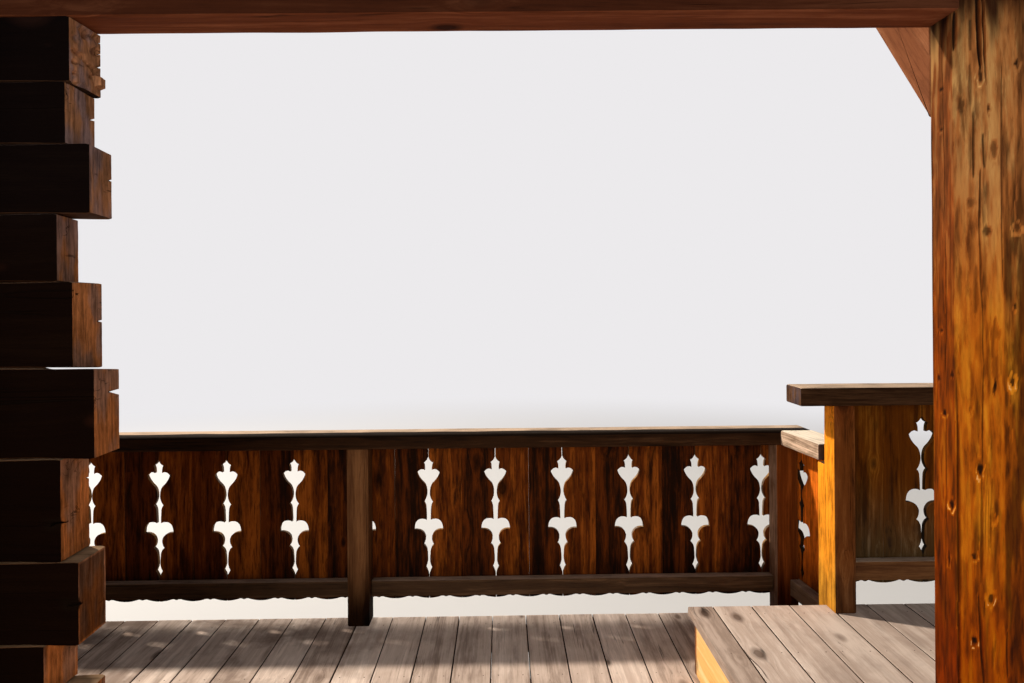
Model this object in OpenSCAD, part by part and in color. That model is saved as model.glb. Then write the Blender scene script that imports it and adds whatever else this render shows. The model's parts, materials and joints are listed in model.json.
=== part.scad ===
// Loggia front of an alpine chalet: a notched log wall corner, a head beam on a hewn post
// with its bracket and purlin, a plank balcony with fretwork railings, and a raised platform.
// Millimetres, +Z up, +Y out of the house, +X to the right for someone who looks out.

/* [Levels] */
// Height of the balcony deck above the ground
deck_z = 440; // [420:10:520]
// Rise from the balcony deck to the raised platform
step_rise = 290; // [240:5:320]
// Height of the head beam's underside above the deck
head_h = 2415; // [2300:5:2500]
// Height of each handrail above its own deck
rail_h = 1000; // [900:10:1100]

/* [Log wall] */
// Thickness of the squared wall logs
wall_t = 130; // [110:5:160]
// Place of the log heads at the opening
heads_x = -1120; // [-1150:5:-1080]
// Left end of the log wall
wall_left_x = -3000; // [-3100:10:-2600]
// Place of the cross wall's middle
cross_x = -1535; // [-1600:5:-1500]
// Length of the cross wall's heads in front of the front wall
cross_out = 200; // [150:10:220]
// Bevel on the long edges of the logs
log_bevel = 7; // [3:1:12]

/* [Frame] */
// Left face of the big post
post_x = 1212; // [1150:2:1250]
// Width of the big post
post_w = 260; // [200:10:300]
// Height of the head beam
beam_h = 235; // [180:5:260]
// Reach of the bracket out of the post
bracket_reach = 355; // [300:5:420]
// Height of the bracket
bracket_h = 470; // [400:5:520]
// Reach of the purlin in front of the wall
purlin_out = 550; // [480:10:570]
// Width of the purlin
purlin_w = 200; // [160:10:220]
// Height of the purlin
purlin_h = 210; // [180:10:240]

/* [Balcony] */
// Depth of the balcony in front of the wall
deck_depth = 1760; // [1600:10:1900]
// Depth of the loggia floor behind the front of the wall
floor_depth = 790; // [500:10:1000]
// Right edge of the balcony deck
deck_right_x = 1550; // [1540:5:1600]
// Thickness of the floor boards
board_t = 35; // [28:1:45]
// Left edge of the raised platform
platform_x = 830; // [700:10:950]
// Depth of the raised platform in front of the wall
platform_depth = 1175; // [1100:5:1200]

/* [Railing] */
// Width of a railing board
board_w = 180; // [160:5:200]
// Thickness of a railing board
panel_t = 25; // [20:1:30]
// Open joint between railing boards
joint_gap = 3; // [2:0.5:5]
// Side of the lower railing's posts
rail_post = 114; // [100:2:130]
// Side of the upper railing's posts
upper_post = 96; // [90:2:110]
// Width of the handrail
cap_w = 160; // [140:5:180]
// Thickness of the handrail
cap_t = 80; // [60:5:90]
// Height of the bottom rail
low_rail_h = 86; // [70:2:100]
// Thickness of the bottom rail
low_rail_t = 56; // [45:1:60]
// Height of the bottom rail above its deck
low_rail_z = 127; // [110:1:150]
// Height of the railing boards above their deck
board_z = 95; // [80:1:110]
// Depth of the groove in the handrail that holds the boards
groove_d = 15; // [10:1:25]
// Angle by which the return of the railing opens outwards
return_splay = 5; // [0:0.5:6]

/* [Fretwork] */
// Height of the cut-out from tip to tip
motif_h = 630; // [560:10:660]
// Place of its lower tip above the deck
motif_z = 220; // [215:1:240]
// Depth of the arcs on the boards' lower ends
scallop_d = 14; // [8:1:20]
// Half of the width between the two cusps of a lower end
nib_w = 16; // [10:1:24]
// Steps on each curve of the fretwork
curve_steps = 3; // [2:1:6]

/* [Hidden] */
// Relative heights of the wall's courses, from the sill upwards
course_rel = [215, 220, 215, 215, 140, 216, 267, 237, 223, 176, 181, 161, 169];
// How far each log head stands past or short of heads_x
head_jog = [20, -45, -10, 18, -60, 21, -23, 64, 14, -27, 57, -3, 16];
courses = len(course_rel);
sill_h = 220;
wall_h = head_h + sill_h;
wall_bottom = deck_z - sill_h;
function sum_to(v, n) = n <= 0 ? 0 : v[n - 1] + sum_to(v, n - 1);
// Underside of course i, counted from 0 at the sill; course 13 is the head beam
function course_z(i) = wall_bottom
    + (i <= courses ? sum_to(course_rel, i) * wall_h / sum_to(course_rel, courses)
                    : wall_h + beam_h * (i - courses));
function course_mid(i) = (course_z(i) + course_z(i + 1)) / 2;
beam_z = deck_z + head_h;
wall_top = beam_z + beam_h;
// The see-through gap on top of this course's head, and its size
gap_course = 7;
gap_h = 12;

cross_left = cross_x - wall_t / 2;
cross_right = cross_x + wall_t / 2;
platform_z = deck_z + step_rise;

// Places along the railings
bay_boards = 12.5;
upper_bay_boards = 8.25;
bay = bay_boards * board_w;
corner_x = 1491;
middle_x = corner_x - bay;
left_x = middle_x - bay;
return_x = corner_x + rail_post / 2;
upper_x = 1507;
upper_right_x = upper_x + upper_bay_boards * board_w;
rail_y = deck_depth + 6;
post_y = rail_y - rail_post;
cap_overhang = 12;
cap_y = post_y - cap_overhang;
upper_rail_y = platform_depth;
upper_post_y = upper_rail_y - upper_post;
// The whole part reaches as far to the left as to the right
outline_x = 3080;
mid_y = (cap_y + cap_w - floor_depth) / 2;

COURSE_NO = ["01", "02", "03", "04", "05", "06", "07", "08", "09", "10", "11", "12", "13"];

WALL = [0.30, 0.18, 0.10];
BEAM = [0.45, 0.20, 0.10];
POST = [0.68, 0.38, 0.14];
RAIL = [0.27, 0.14, 0.09];
BOARD = [0.44, 0.19, 0.08];
DECK = [0.62, 0.57, 0.52];
RISER = [0.80, 0.52, 0.24];
STONE = [0.55, 0.54, 0.52];

// Squared timber

// A bar along X from x0 to x1, with its long edges bevelled
module bar_x(x0, x1, y, z, w, h, bevel) {
    translate([x0, y, z]) rotate([90, 0, 90]) linear_extrude(x1 - x0)
        bevelled(w, h, bevel);
}
// A bar along Y from y0 to y1, with its long edges bevelled
module bar_y(x, y0, y1, z, w, h, bevel) {
    translate([x, y1, z]) rotate([90, 0, 0]) linear_extrude(y1 - y0)
        bevelled(w, h, bevel);
}
// An upright from z0 to z1, with its arrises bevelled
module upright(x, y, z0, z1, w, d, bevel) {
    translate([x, y, z0]) linear_extrude(z1 - z0) bevelled(w, d, bevel);
}
module bevelled(w, h, b) {
    polygon([[b, 0], [w - b, 0], [w, b], [w, h - b], [w - b, h], [b, h], [0, h - b], [0, b]]);
}

// Log wall: each course is quarter-notched over and under the cross wall's logs

// What a log of the front wall loses at the crossing, so that its neck is half its height
module crossing_notch(z0, z1) {
    quarter = (z1 - z0) / 4;
    for (z = [z0 - 1, z1 - quarter])
        translate([cross_left, -wall_t - 1, z]) cube([wall_t, wall_t + 2, quarter + 1]);
}
module log_course(i) {
    z0 = course_z(i);
    z1 = course_z(i + 1);
    x1 = heads_x + head_jog[i];
    color(WALL) difference() {
        bar_x(wall_left_x, x1, -wall_t, z0, wall_t, z1 - z0, log_bevel);
        crossing_notch(z0, z1);
        if (i == gap_course)
            translate([cross_right, -wall_t - 1, z1 - gap_h])
                cube([x1 - cross_right + 1, wall_t + 2, gap_h + 1]);
    }
}

// Cross wall: log j lies half a course higher than front log j - 1
function cross_z(j) = j == 0 ? wall_bottom : j > courses + 1 ? wall_top : course_mid(j - 1);
// The heads under the deck are cut flush, and the others end at uneven lengths
function cross_head(j) = j < 2 ? 0 : cross_out + 30 * sin(137 * j);
module cross_log(j) {
    z0 = cross_z(j);
    z1 = cross_z(j + 1);
    low = j == 0 ? z0 - 1 : (z0 + course_z(j)) / 2;
    high = j == courses + 1 ? z1 + 1 : (z1 + course_z(j)) / 2;
    difference() {
        bar_y(cross_left, -floor_depth, cross_head(j), z0, wall_t, z1 - z0, log_bevel);
        if (j > 0) translate([cross_left - 1, -wall_t, z0 - 1])
            cube([wall_t + 2, wall_t, low - z0 + 1]);
        if (j <= courses) translate([cross_left - 1, -wall_t, high])
            cube([wall_t + 2, wall_t, z1 - high + 1]);
    }
}
module cross_logs(first) {
    color(WALL) for (j = [first:2:courses + 1]) cross_log(j);
}
module cross_logs_lower() { cross_logs(0); }
module cross_logs_upper() { cross_logs(1); }

// Head beam, post and what they carry

tenon_h = 120;
tenon_t = 45;
tenon_out = 30;
peg_d = 22;
peg_out = 12;
peg_x = [post_x + 80, post_x + 180];
module head_beam() {
    color(BEAM) difference() {
        union() {
            bar_x(wall_left_x, post_x, -wall_t, beam_z, wall_t, beam_h, log_bevel);
            translate([post_x - 1, -(wall_t + tenon_t) / 2, beam_z + (beam_h - tenon_h) / 2])
                cube([post_w + tenon_out + 1, tenon_t, tenon_h]);
        }
        crossing_notch(beam_z, wall_top);
        for (x = peg_x) peg_hole(x);
    }
}
module peg_hole(x) {
    translate([x, 1, beam_z + beam_h / 2]) rotate([90, 0, 0])
        cylinder(d = peg_d, h = wall_t + 2, $fn = 24);
}
module beam_pegs() {
    color(POST) for (x = peg_x) translate([x, peg_out, beam_z + beam_h / 2]) rotate([90, 0, 0])
        cylinder(d = peg_d, h = wall_t + 2 * peg_out, $fn = 24);
}
// The inner arris towards the opening is hewn to a flat, wider on the face than on the side
flat_across = 57;
flat_deep = 32;
post_bevel = 6;
module corner_post() {
    color(POST) difference() {
        translate([post_x, -wall_t, pad_h]) linear_extrude(wall_top - pad_h)
            polygon([[flat_across, 0], [0, flat_deep],
                     [0, wall_t - post_bevel], [post_bevel, wall_t],
                     [post_w - post_bevel, wall_t], [post_w, wall_t - post_bevel],
                     [post_w, post_bevel], [post_w - post_bevel, 0]]);
        translate([post_x - 1, -(wall_t + tenon_t) / 2, beam_z + (beam_h - tenon_h) / 2])
            cube([post_w + 2, tenon_t, tenon_h]);
        for (x = peg_x) peg_hole(x);
    }
}
bracket_w = 120;
bracket_toe = 3;
brace_depth = 106;
brace_line = 5;
// A solid corbel whose face shows the line of its brace
module bracket() {
    foot_z = wall_top - bracket_h;
    color(BEAM) difference() {
        translate([post_x, 0, 0]) rotate([90, 0, 90]) linear_extrude(bracket_w)
            polygon([[0, foot_z], [bracket_toe, foot_z],
                     [bracket_reach + bracket_toe, wall_top], [0, wall_top]]);
        translate([post_x, bracket_toe, foot_z])
            rotate([atan2(bracket_h, bracket_reach), 0, 0])
                translate([-brace_line, -bracket_h, brace_depth])
                    cube([2 * brace_line, 3 * bracket_h, brace_line]);
    }
}
// The purlin's nose is a hollow below a plain square end
purlin_tail = 60;
nose_l = 110;
nose_h = 90;
module purlin() {
    y0 = -wall_t - purlin_tail;
    color(BEAM) translate([post_x, 0, wall_top]) rotate([90, 0, 90])
        linear_extrude(purlin_w) polygon(concat(
            [[y0, 0], [purlin_out - nose_l, 0]],
            [for (a = [15:15:75]) [purlin_out - nose_l * cos(a), nose_h * sin(a)]],
            [[purlin_out, nose_h], [purlin_out, purlin_h], [y0, purlin_h]]));
}

// What the timber stands on

footing_lip = 20;
module stone_footing() {
    color(STONE) union() {
        translate([wall_left_x, -wall_t - footing_lip, 0])
            cube([heads_x + head_jog[0] - wall_left_x, wall_t + 2 * footing_lip, wall_bottom]);
        translate([cross_left - footing_lip, -floor_depth, 0])
            cube([wall_t + 2 * footing_lip, floor_depth, wall_bottom]);
    }
}
pad_h = 165;
pad_side = 220;
bearer_w = 80;
bearer_h = 140;
bearer_in = 40;
bearer_x = [-2850, -950, 250, deck_right_x - bearer_w / 2 - 5];
pad_y = [-600, 300, 1000, deck_depth - 150];
platform_pad_x = [2200, 2955];
platform_pad_y = [125, platform_depth - 105];
post_lip = 30;
module pad(x, y, h) {
    translate([x - pad_side / 2, y - pad_side / 2, 0]) cube([pad_side, pad_side, h]);
}
module pad_stones() {
    color(STONE) {
        for (x = bearer_x, y = pad_y) if (x > cross_left || y > 0) pad(x, y, pad_h);
        for (x = platform_pad_x, y = platform_pad_y) pad(x, y, pad_h);
        translate([post_x - post_lip, -wall_t - post_lip, 0])
            cube([post_w, wall_t + 2 * post_lip, pad_h]);
    }
}
module deck_bearers() {
    color(RAIL) for (x = bearer_x) {
        y0 = x > cross_left ? bearer_in - floor_depth : bearer_in;
        translate([x - bearer_w / 2, y0, pad_h])
            cube([bearer_w, deck_depth - bearer_in - y0, bearer_h]);
    }
}
joist_w = 80;
fascia_t = 28;
wall_gap = 12;
end_gap = 20;
deck_left_x = end_gap - outline_x;
joist_h = deck_z - board_t - pad_h - bearer_h;
fascia_back = 30;
joist_y = [40, 560, 1120, deck_depth - fascia_t - fascia_back - joist_w];
inner_joist_y = [-760, -500, -250];
module deck_joists() {
    z = pad_h + bearer_h;
    color(RAIL) {
        for (y = joist_y) translate([deck_left_x + fascia_t, y, z])
            cube([deck_right_x - deck_left_x - 2 * fascia_t, joist_w, joist_h]);
        for (y = inner_joist_y) translate([cross_right + end_gap, y, z])
            cube([deck_right_x - fascia_t - cross_right - end_gap, joist_w, joist_h]);
    }
}
module deck_fascia() {
    z = deck_z - board_t - joist_h;
    color(BOARD) union() {
        translate([deck_left_x, deck_depth - fascia_back - fascia_t, z])
            cube([deck_right_x - deck_left_x, fascia_t, joist_h]);
        for (x = [deck_left_x, deck_right_x - fascia_t])
            translate([x, wall_gap, z])
                cube([fascia_t, deck_depth - fascia_back - wall_gap, joist_h]);
    }
}

// Floors: slabs of the boards' thickness, with the joints between the boards left out

module balcony_deck() {
    color(DECK) translate([deck_left_x, wall_gap, deck_z - board_t])
        cube([deck_right_x - deck_left_x, deck_depth - wall_gap, board_t]);
}
// The loggia's floor is cut round the log heads and round the post
module loggia_floor() {
    heads_end = heads_x + head_jog[0] + wall_gap;
    post_end = post_x + post_w + wall_gap;
    inside = -wall_t - wall_gap;
    color(DECK) translate([0, 0, deck_z - board_t]) linear_extrude(board_t) polygon([
        [cross_right + wall_gap, -floor_depth], [deck_right_x, -floor_depth],
        [deck_right_x, wall_gap], [post_end, wall_gap], [post_end, inside],
        [post_x - wall_gap, inside], [post_x - wall_gap, wall_gap],
        [heads_end, wall_gap], [heads_end, inside], [cross_right + wall_gap, inside]]);
}

// Raised platform: joists on short legs, which stand on the balcony and on their own pads

nosing = 25;
riser_t = 28;
platform_right = outline_x - end_gap;
frame_x0 = platform_x + nosing + riser_t;
frame_x1 = platform_right - nosing - riser_t;
frame_y0 = 50;
frame_y1 = platform_depth - nosing - riser_t;
platform_joist_h = 150;
platform_joist_w = 60;
leg = 90;
joist_z = platform_z - board_t - platform_joist_h;
beam_under_h = 70;
leg_top = joist_z - beam_under_h;
deck_leg_x = [frame_x0, 1440];
module platform_joists() {
    rows = 4;
    color(RAIL) union() {
        for (k = [0:rows - 1])
            translate([frame_x0, frame_y0 + k * (frame_y1 - frame_y0 - platform_joist_w) / (rows - 1),
                       joist_z])
                cube([frame_x1 - frame_x0, platform_joist_w, platform_joist_h]);
        for (x = concat(deck_leg_x, [for (p = platform_pad_x) p - leg / 2]))
            translate([x, frame_y0, leg_top]) cube([leg, frame_y1 - frame_y0, beam_under_h]);
    }
}
module platform_legs() {
    color(RAIL) {
        for (x = deck_leg_x, y = [frame_y0, frame_y1 - leg])
            translate([x, y, deck_z]) cube([leg, leg, leg_top - deck_z]);
        for (x = platform_pad_x, y = platform_pad_y)
            translate([x - leg / 2, y - leg / 2, pad_h]) cube([leg, leg, leg_top - pad_h]);
    }
}
module platform_deck() {
    color(DECK) translate([platform_x, wall_gap, platform_z - board_t])
        cube([platform_right - platform_x, platform_depth - wall_gap, board_t]);
}
module platform_risers() {
    color(RISER) translate([0, 0, deck_z]) linear_extrude(step_rise - board_t)
        difference() {
            translate([frame_x0 - riser_t, wall_gap])
                square([frame_x1 - frame_x0 + 2 * riser_t, frame_y1 + riser_t - wall_gap]);
            translate([frame_x0, 0]) square([frame_x1 - frame_x0, frame_y1]);
        }
}

// Fretwork: each cut-out is two halves, sawn in the edges of two neighbouring boards

// Half width and depth under the upper tip, as a control point and an end for each curve
MOTIF = [
    [[10, 22], [26, 28]], [[18, 38], [19, 68]], [[40, 54], [60, 80]], [[52, 110], [26, 134]],
    [[8, 150], [7, 190]], [[8, 220], [25, 240]], [[14, 250], [13, 272]], [[11, 300], [11, 336]],
    [[24, 327], [46, 331]], [[76, 338], [77, 388]], [[28, 384], [17, 425]], [[15, 452], [29, 468]],
    [[13, 478], [9, 500]], [[6, 530], [6, 556]], [[9, 578], [18, 592]], [[6, 608], [1.5, 630]]];
motif_true_h = 630;
function bend(a, c, b, t) = a * (1 - t) * (1 - t) + c * 2 * t * (1 - t) + b * t * t;
// Points [half width, height above the deck] down one side of the cut-out
function motif_side() = concat([[joint_gap / 2, motif_z + motif_h]],
    [for (s = [0:len(MOTIF) - 1], k = [1:curve_steps])
        let (a = s == 0 ? [joint_gap / 2, 0] : MOTIF[s - 1][1],
             p = bend(a, MOTIF[s][0], MOTIF[s][1], k / curve_steps))
        [max(p[0], joint_gap / 2), motif_z + motif_h * (1 - p[1] / motif_true_h)]]);
SIDE = motif_side();
function upside(v) = [for (i = [len(v) - 1:-1:0]) v[i]];

// Steps on the lower end's two arcs and on the small nib between them, and the nib's depth
arc_steps = 5;
nib_steps = 4;
nib_d = 7;
// Height of the lower end at distance u from the nearer joint
scallop_r = (pow(board_w / 2 - nib_w, 2) + scallop_d * scallop_d) / (2 * scallop_d);
function scallop(u) = scallop_r - sqrt(scallop_r * scallop_r - u * u);

// One railing board between the joints at u0 and u1, upright in the X-Z plane
module fret_board(u0, u1, top, left_cut, right_cut) {
    a = u0 + joint_gap / 2;
    b = u1 - joint_gap / 2;
    mid = (u0 + u1) / 2;
    w = (u1 - u0) / 2;
    lower = concat(
        [for (k = [0:arc_steps]) let (u = k / arc_steps * (w - nib_w))
            [max(u0 + u, a), board_z + scallop(min(u, board_w / 2 - nib_w))]],
        [for (k = [1:nib_steps - 1])
            [mid + nib_w * (2 * k / nib_steps - 1),
             board_z + scallop_d - nib_d * sin(180 * k / nib_steps)]],
        [for (k = [arc_steps:-1:0]) let (u = k / arc_steps * (w - nib_w))
            [min(u1 - u, b), board_z + scallop(min(u, board_w / 2 - nib_w))]]);
    right = right_cut ? [for (p = upside(SIDE)) [u1 - p[0], p[1]]] : [];
    left = left_cut ? [for (p = SIDE) [u0 + p[0], p[1]]] : [];
    polygon(concat(lower, right, [[b, top], [a, top]], left));
}
// Boards from joint to joint; cuts[k] is 1 where joint k carries a cut-out
module fret_boards(joints, cuts, top) {
    linear_extrude(panel_t) for (k = [0:len(joints) - 2])
        fret_board(joints[k], joints[k + 1], top, cuts[k] == 1, cuts[k + 1] == 1);
}
board_top = rail_h - cap_t + groove_d;

// Railing around the balcony

rail_bevel = 5;
// Chamfers on the lower and the upper edges of a handrail
ease_low = 8;
ease_top = 10;
// How far the handrail reaches past the outer face of the boards on the return
cap_out = 64;
module fret_panel(joints, cuts, y, z) {
    color(BOARD) translate([0, y + panel_t, z]) rotate([90, 0, 0])
        fret_boards(joints, cuts, board_top);
}
// A board's joints lie under the middle of a cut-out, every second one
first_cut = -763;
module fret_panel_left() {
    joints = concat([left_x - rail_post / 2], [for (k = [-12:0]) first_cut + k * board_w]);
    cuts = concat([0], [for (k = [-12:0]) k % 2 == 0 ? 1 : 0]);
    fret_panel(joints, cuts, rail_y, deck_z);
}
module fret_panel_right() {
    last = return_x + panel_t;
    joints = concat([for (k = [0:12]) first_cut + k * board_w], [last]);
    cuts = concat([for (k = [0:12]) k % 2 == 0 ? 1 : 0], [0]);
    fret_panel(joints, cuts, rail_y, deck_z);
}
module railing_post(x) {
    color(RAIL) upright(x - rail_post / 2, post_y, deck_z, deck_z + rail_h - cap_t,
                        rail_post, rail_post, rail_bevel);
}
module railing_post_left() { railing_post(left_x); }
module railing_post_middle() { railing_post(middle_x); }
module railing_post_corner() { railing_post(corner_x); }
cap_right_x = return_x + cap_out;
module cap_section(w, h) {
    polygon([[ease_low, 0], [w - ease_low, 0], [w, ease_low], [w, h - ease_top],
             [w - ease_top, h], [ease_top, h], [0, h - ease_top], [0, ease_low]]);
}
module railing_cap() {
    z = deck_z + rail_h - cap_t;
    color(RAIL) difference() {
        translate([-outline_x, cap_y, z]) rotate([90, 0, 90])
            linear_extrude(cap_right_x + outline_x) cap_section(cap_w, cap_t);
        translate([-outline_x - 1, rail_y, z - 1])
            cube([return_x + panel_t + outline_x + 1, panel_t, groove_d + 1]);
        return_place() translate([0, -cap_w, z - 1]) cube([panel_t, cap_w, groove_d + 1]);
    }
}
module railing_bottom_rail() {
    half = rail_post / 2;
    z = deck_z + low_rail_z;
    color(RAIL) {
        for (x = [left_x, middle_x])
            bar_x(x + half, x + bay - half, rail_y - low_rail_t, z, low_rail_t, low_rail_h, rail_bevel);
        difference() {
            return_place() bar_y(-low_rail_t, -return_l, -rail_post / 2, z,
                                 low_rail_t, low_rail_h, rail_bevel);
            translate([return_x - rail_post, post_y, z - 1])
                cube([rail_post, rail_post, low_rail_h + 2]);
            translate([0, 0, z - 1]) cube([2 * return_x, return_post_y1, low_rail_h + 2]);
        }
    }
}

// Return of the railing towards the house, turned about the corner post's outer arris

return_l = 560;
return_post_y0 = platform_depth + 5;
return_post_y1 = return_post_y0 + 95;
return_post_x = 1474;
return_post_w = 78;
// How far the return's handrail and boards end short of the raised platform's railing
cap_back = 10;
panel_back = 20;
return_cap_w = cap_w + 12;
module return_place() {
    translate([return_x, rail_y, 0]) rotate(return_splay) children();
}
module return_post() {
    color(RAIL) upright(return_post_x, return_post_y0, deck_z, deck_z + rail_h - cap_t,
                        return_post_w, return_post_y1 - return_post_y0, rail_bevel);
}
module return_cap() {
    z = deck_z + rail_h - cap_t;
    color(RAIL) difference() {
        return_place() translate([cap_out - return_cap_w, 0, z]) rotate([90, 0, 0])
            linear_extrude(return_l) cap_section(return_cap_w, cap_t);
        translate([0, cap_y, z - 1]) cube([2 * return_x, cap_w, cap_t + 2]);
        translate([0, 0, z - 1]) cube([2 * return_x, return_post_y1 + cap_back, cap_t + 2]);
        return_place() translate([0, -return_l, z - 1]) cube([panel_t, return_l, groove_d + 1]);
    }
}
return_cut = -128;
module return_fret_panel() {
    joints = concat([-joint_gap], [for (k = [0:2]) return_cut - k * board_w],
                    [panel_back - return_l]);
    color(BOARD) return_place() translate([0, 0, deck_z]) rotate([90, 0, 90])
        fret_boards(upside(joints), [0, 0, 0, 1, 0], board_top);
}

// Railing on the raised platform

upper_cap_h = cap_t + 4;
upper_cap_left = 1310;
upper_cut = 1911;
upper_panel_x = return_post_x + return_post_w + 4;
module upper_posts() {
    color(RAIL) for (x = [upper_x, upper_right_x])
        upright(x - upper_post / 2, upper_post_y, platform_z,
                platform_z + rail_h - upper_cap_h, upper_post, upper_post, rail_bevel);
}
module upper_cap() {
    z = platform_z + rail_h - upper_cap_h;
    color(RAIL) difference() {
        translate([upper_cap_left, upper_post_y - cap_overhang, z]) rotate([90, 0, 90])
            linear_extrude(outline_x - upper_cap_left) cap_section(cap_w, upper_cap_h);
        translate([return_post_x, upper_rail_y, z - 1])
            cube([outline_x, panel_t, groove_d + 1]);
    }
}
module upper_bottom_rail() {
    color(RAIL) bar_x(upper_x + upper_post / 2, upper_right_x - upper_post / 2,
                      upper_rail_y - low_rail_t, platform_z + low_rail_z,
                      low_rail_t, low_rail_h, rail_bevel);
}
module upper_fret_panel() {
    joints = concat([upper_panel_x], [for (k = [-1:6]) upper_cut + k * board_w],
                    [upper_right_x + upper_post / 2]);
    cuts = [0, 0, 1, 0, 1, 0, 1, 0, 0, 0];
    color(BOARD) translate([0, upper_rail_y + panel_t, platform_z]) rotate([90, 0, 0])
        fret_boards(joints, cuts, rail_h - upper_cap_h + groove_d);
}

translate([0, -mid_y, 0]) {
    for (i = [0:courses - 1])
        log_course(i);
    cross_logs_lower();
    cross_logs_upper();
    head_beam();
    corner_post();
    beam_pegs();
    bracket();
    purlin();
    stone_footing();
    pad_stones();
    deck_bearers();
    deck_joists();
    deck_fascia();
    balcony_deck();
    loggia_floor();
    platform_joists();
    platform_legs();
    platform_deck();
    platform_risers();
    railing_post_left();
    railing_post_middle();
    railing_post_corner();
    railing_cap();
    railing_bottom_rail();
    fret_panel_left();
    fret_panel_right();
    return_post();
    return_cap();
    return_fret_panel();
    upper_posts();
    upper_cap();
    upper_bottom_rail();
    upper_fret_panel();
}
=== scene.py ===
# %% [markdown]
# # The loggia front of an alpine chalet, seen from inside
# This notebook dresses a packed construction model: a log wall corner, a head beam on a hewn post, a
# plank balcony and its fretwork railings. The construction gives every place and size, in metres, with
# +X to the right, +Y out of the house and +Z up. Here each timber gets its hewn faces, its worn
# arrises and its finish. We load the model first, because every measure below is read from it.

# %% Load the construction
import json
import math
import random

import bpy
import numpy as np
from mathutils import Matrix, Vector, geometry, noise

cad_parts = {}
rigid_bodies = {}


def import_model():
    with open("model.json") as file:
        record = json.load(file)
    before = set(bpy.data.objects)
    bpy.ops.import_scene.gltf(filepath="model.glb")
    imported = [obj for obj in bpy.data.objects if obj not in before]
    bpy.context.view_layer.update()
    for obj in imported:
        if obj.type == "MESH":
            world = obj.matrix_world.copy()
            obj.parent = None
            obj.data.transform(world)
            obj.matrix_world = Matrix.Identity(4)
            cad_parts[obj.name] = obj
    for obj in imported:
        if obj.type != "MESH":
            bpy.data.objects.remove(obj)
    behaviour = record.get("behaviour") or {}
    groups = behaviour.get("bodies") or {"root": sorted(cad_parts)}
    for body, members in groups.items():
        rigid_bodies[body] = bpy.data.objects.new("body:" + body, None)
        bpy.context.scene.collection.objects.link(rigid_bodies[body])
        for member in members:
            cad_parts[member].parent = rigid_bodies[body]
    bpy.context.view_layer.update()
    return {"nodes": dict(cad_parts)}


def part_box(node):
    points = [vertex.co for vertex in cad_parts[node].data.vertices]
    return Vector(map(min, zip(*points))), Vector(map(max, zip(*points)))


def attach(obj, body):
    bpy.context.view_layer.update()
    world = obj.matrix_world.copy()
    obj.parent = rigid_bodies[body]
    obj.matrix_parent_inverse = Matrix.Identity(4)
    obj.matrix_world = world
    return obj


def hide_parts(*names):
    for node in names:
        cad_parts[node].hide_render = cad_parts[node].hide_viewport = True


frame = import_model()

nodes = frame["nodes"]

# %% [markdown]
# ## The camera
# The photographer stands in the loggia, 1.9 m behind the wall's outer face, and holds the camera
# level at eye height. A level camera keeps uprights upright, so the horizon is placed by the lens
# shift instead of a tilt. Two small turns follow the photograph: a yaw to the right and a roll.

# %% Camera at the photograph's viewpoint
EYE = (0.0, -2.415, 2.09)
LENS_MM = 24.0
YAW_DEG = -0.84
ROLL_DEG = -0.46
SHIFT_UP = -0.0327

lens = bpy.data.cameras.new("loggia_camera")
lens.lens = LENS_MM
lens.sensor_width = 36.0
lens.shift_y = SHIFT_UP
camera = bpy.data.objects.new("loggia_camera", lens)
camera.matrix_world = (Matrix.Translation(EYE) @ Matrix.Rotation(math.radians(YAW_DEG), 4, "Z")
                       @ Matrix.Rotation(math.radians(90), 4, "X")
                       @ Matrix.Rotation(math.radians(ROLL_DEG), 4, "Z"))
bpy.context.scene.collection.objects.link(camera)
bpy.context.scene.camera = camera
print("camera at", EYE)

# %% [markdown]
# ## Colours and shader nodes
# Colours are easiest to compare with a photograph as the 0 to 255 values that an image viewer
# shows, while shaders calculate in linear light. One small function turns the first into the second,
# and another adds a shader node and connects it, so that a material reads like a recipe.

# %% Helpers for colours and shader nodes
def seen(red, green, blue):
    """A colour as a picture shows it, 0 to 255, turned into linear light."""
    return tuple(((c / 255 + 0.055) / 1.055) ** 2.4 if c > 10 else c / 255 / 12.92
                 for c in (red, green, blue)) + (1.0,)


def add(tree, kind, feeds=(), **settings):
    """Adds a node; feeds maps an input's name or number to a value or to another node's output."""
    made = tree.nodes.new(kind)
    for name, value in settings.items():
        setattr(made, name, value)
    for key, value in dict(feeds).items():
        if isinstance(value, bpy.types.NodeSocket):
            tree.links.new(value, made.inputs[key])
        else:
            made.inputs[key].default_value = value
    return made


def calc(tree, operation, first, second=0.0, clamp=False):
    """A Math node's result."""
    return add(tree, "ShaderNodeMath", {0: first, 1: second},
               operation=operation, use_clamp=clamp).outputs[0]


def times(tree, first, second):
    return calc(tree, "MULTIPLY", first, second)


def plus(tree, first, second, clamp=False):
    return calc(tree, "ADD", first, second, clamp)


def minus(tree, first, second):
    return calc(tree, "SUBTRACT", first, second)


def vcalc(tree, operation, first, second):
    """A Vector Math node's result."""
    return add(tree, "ShaderNodeVectorMath", {0: first, 1: second}, operation=operation).outputs[0]


def vtimes(tree, first, second):
    return vcalc(tree, "MULTIPLY", first, second)


def vlength(tree, vector):
    return add(tree, "ShaderNodeVectorMath", {0: vector}, operation="LENGTH").outputs["Value"]


def parts(tree, vector):
    """The x, y and z of a vector."""
    return add(tree, "ShaderNodeSeparateXYZ", {0: vector}).outputs


def where_on(tree):
    """The place on the object, in its own metres."""
    return add(tree, "ShaderNodeTexCoord").outputs["Object"]


def facing_of(tree):
    """The x, y and z of the way that the surface faces."""
    return parts(tree, add(tree, "ShaderNodeNewGeometry").outputs["Normal"])


def told(tree, name, output="Fac"):
    """What the mesh says in an attribute."""
    return add(tree, "ShaderNodeAttribute", attribute_name=name).outputs[output]


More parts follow.
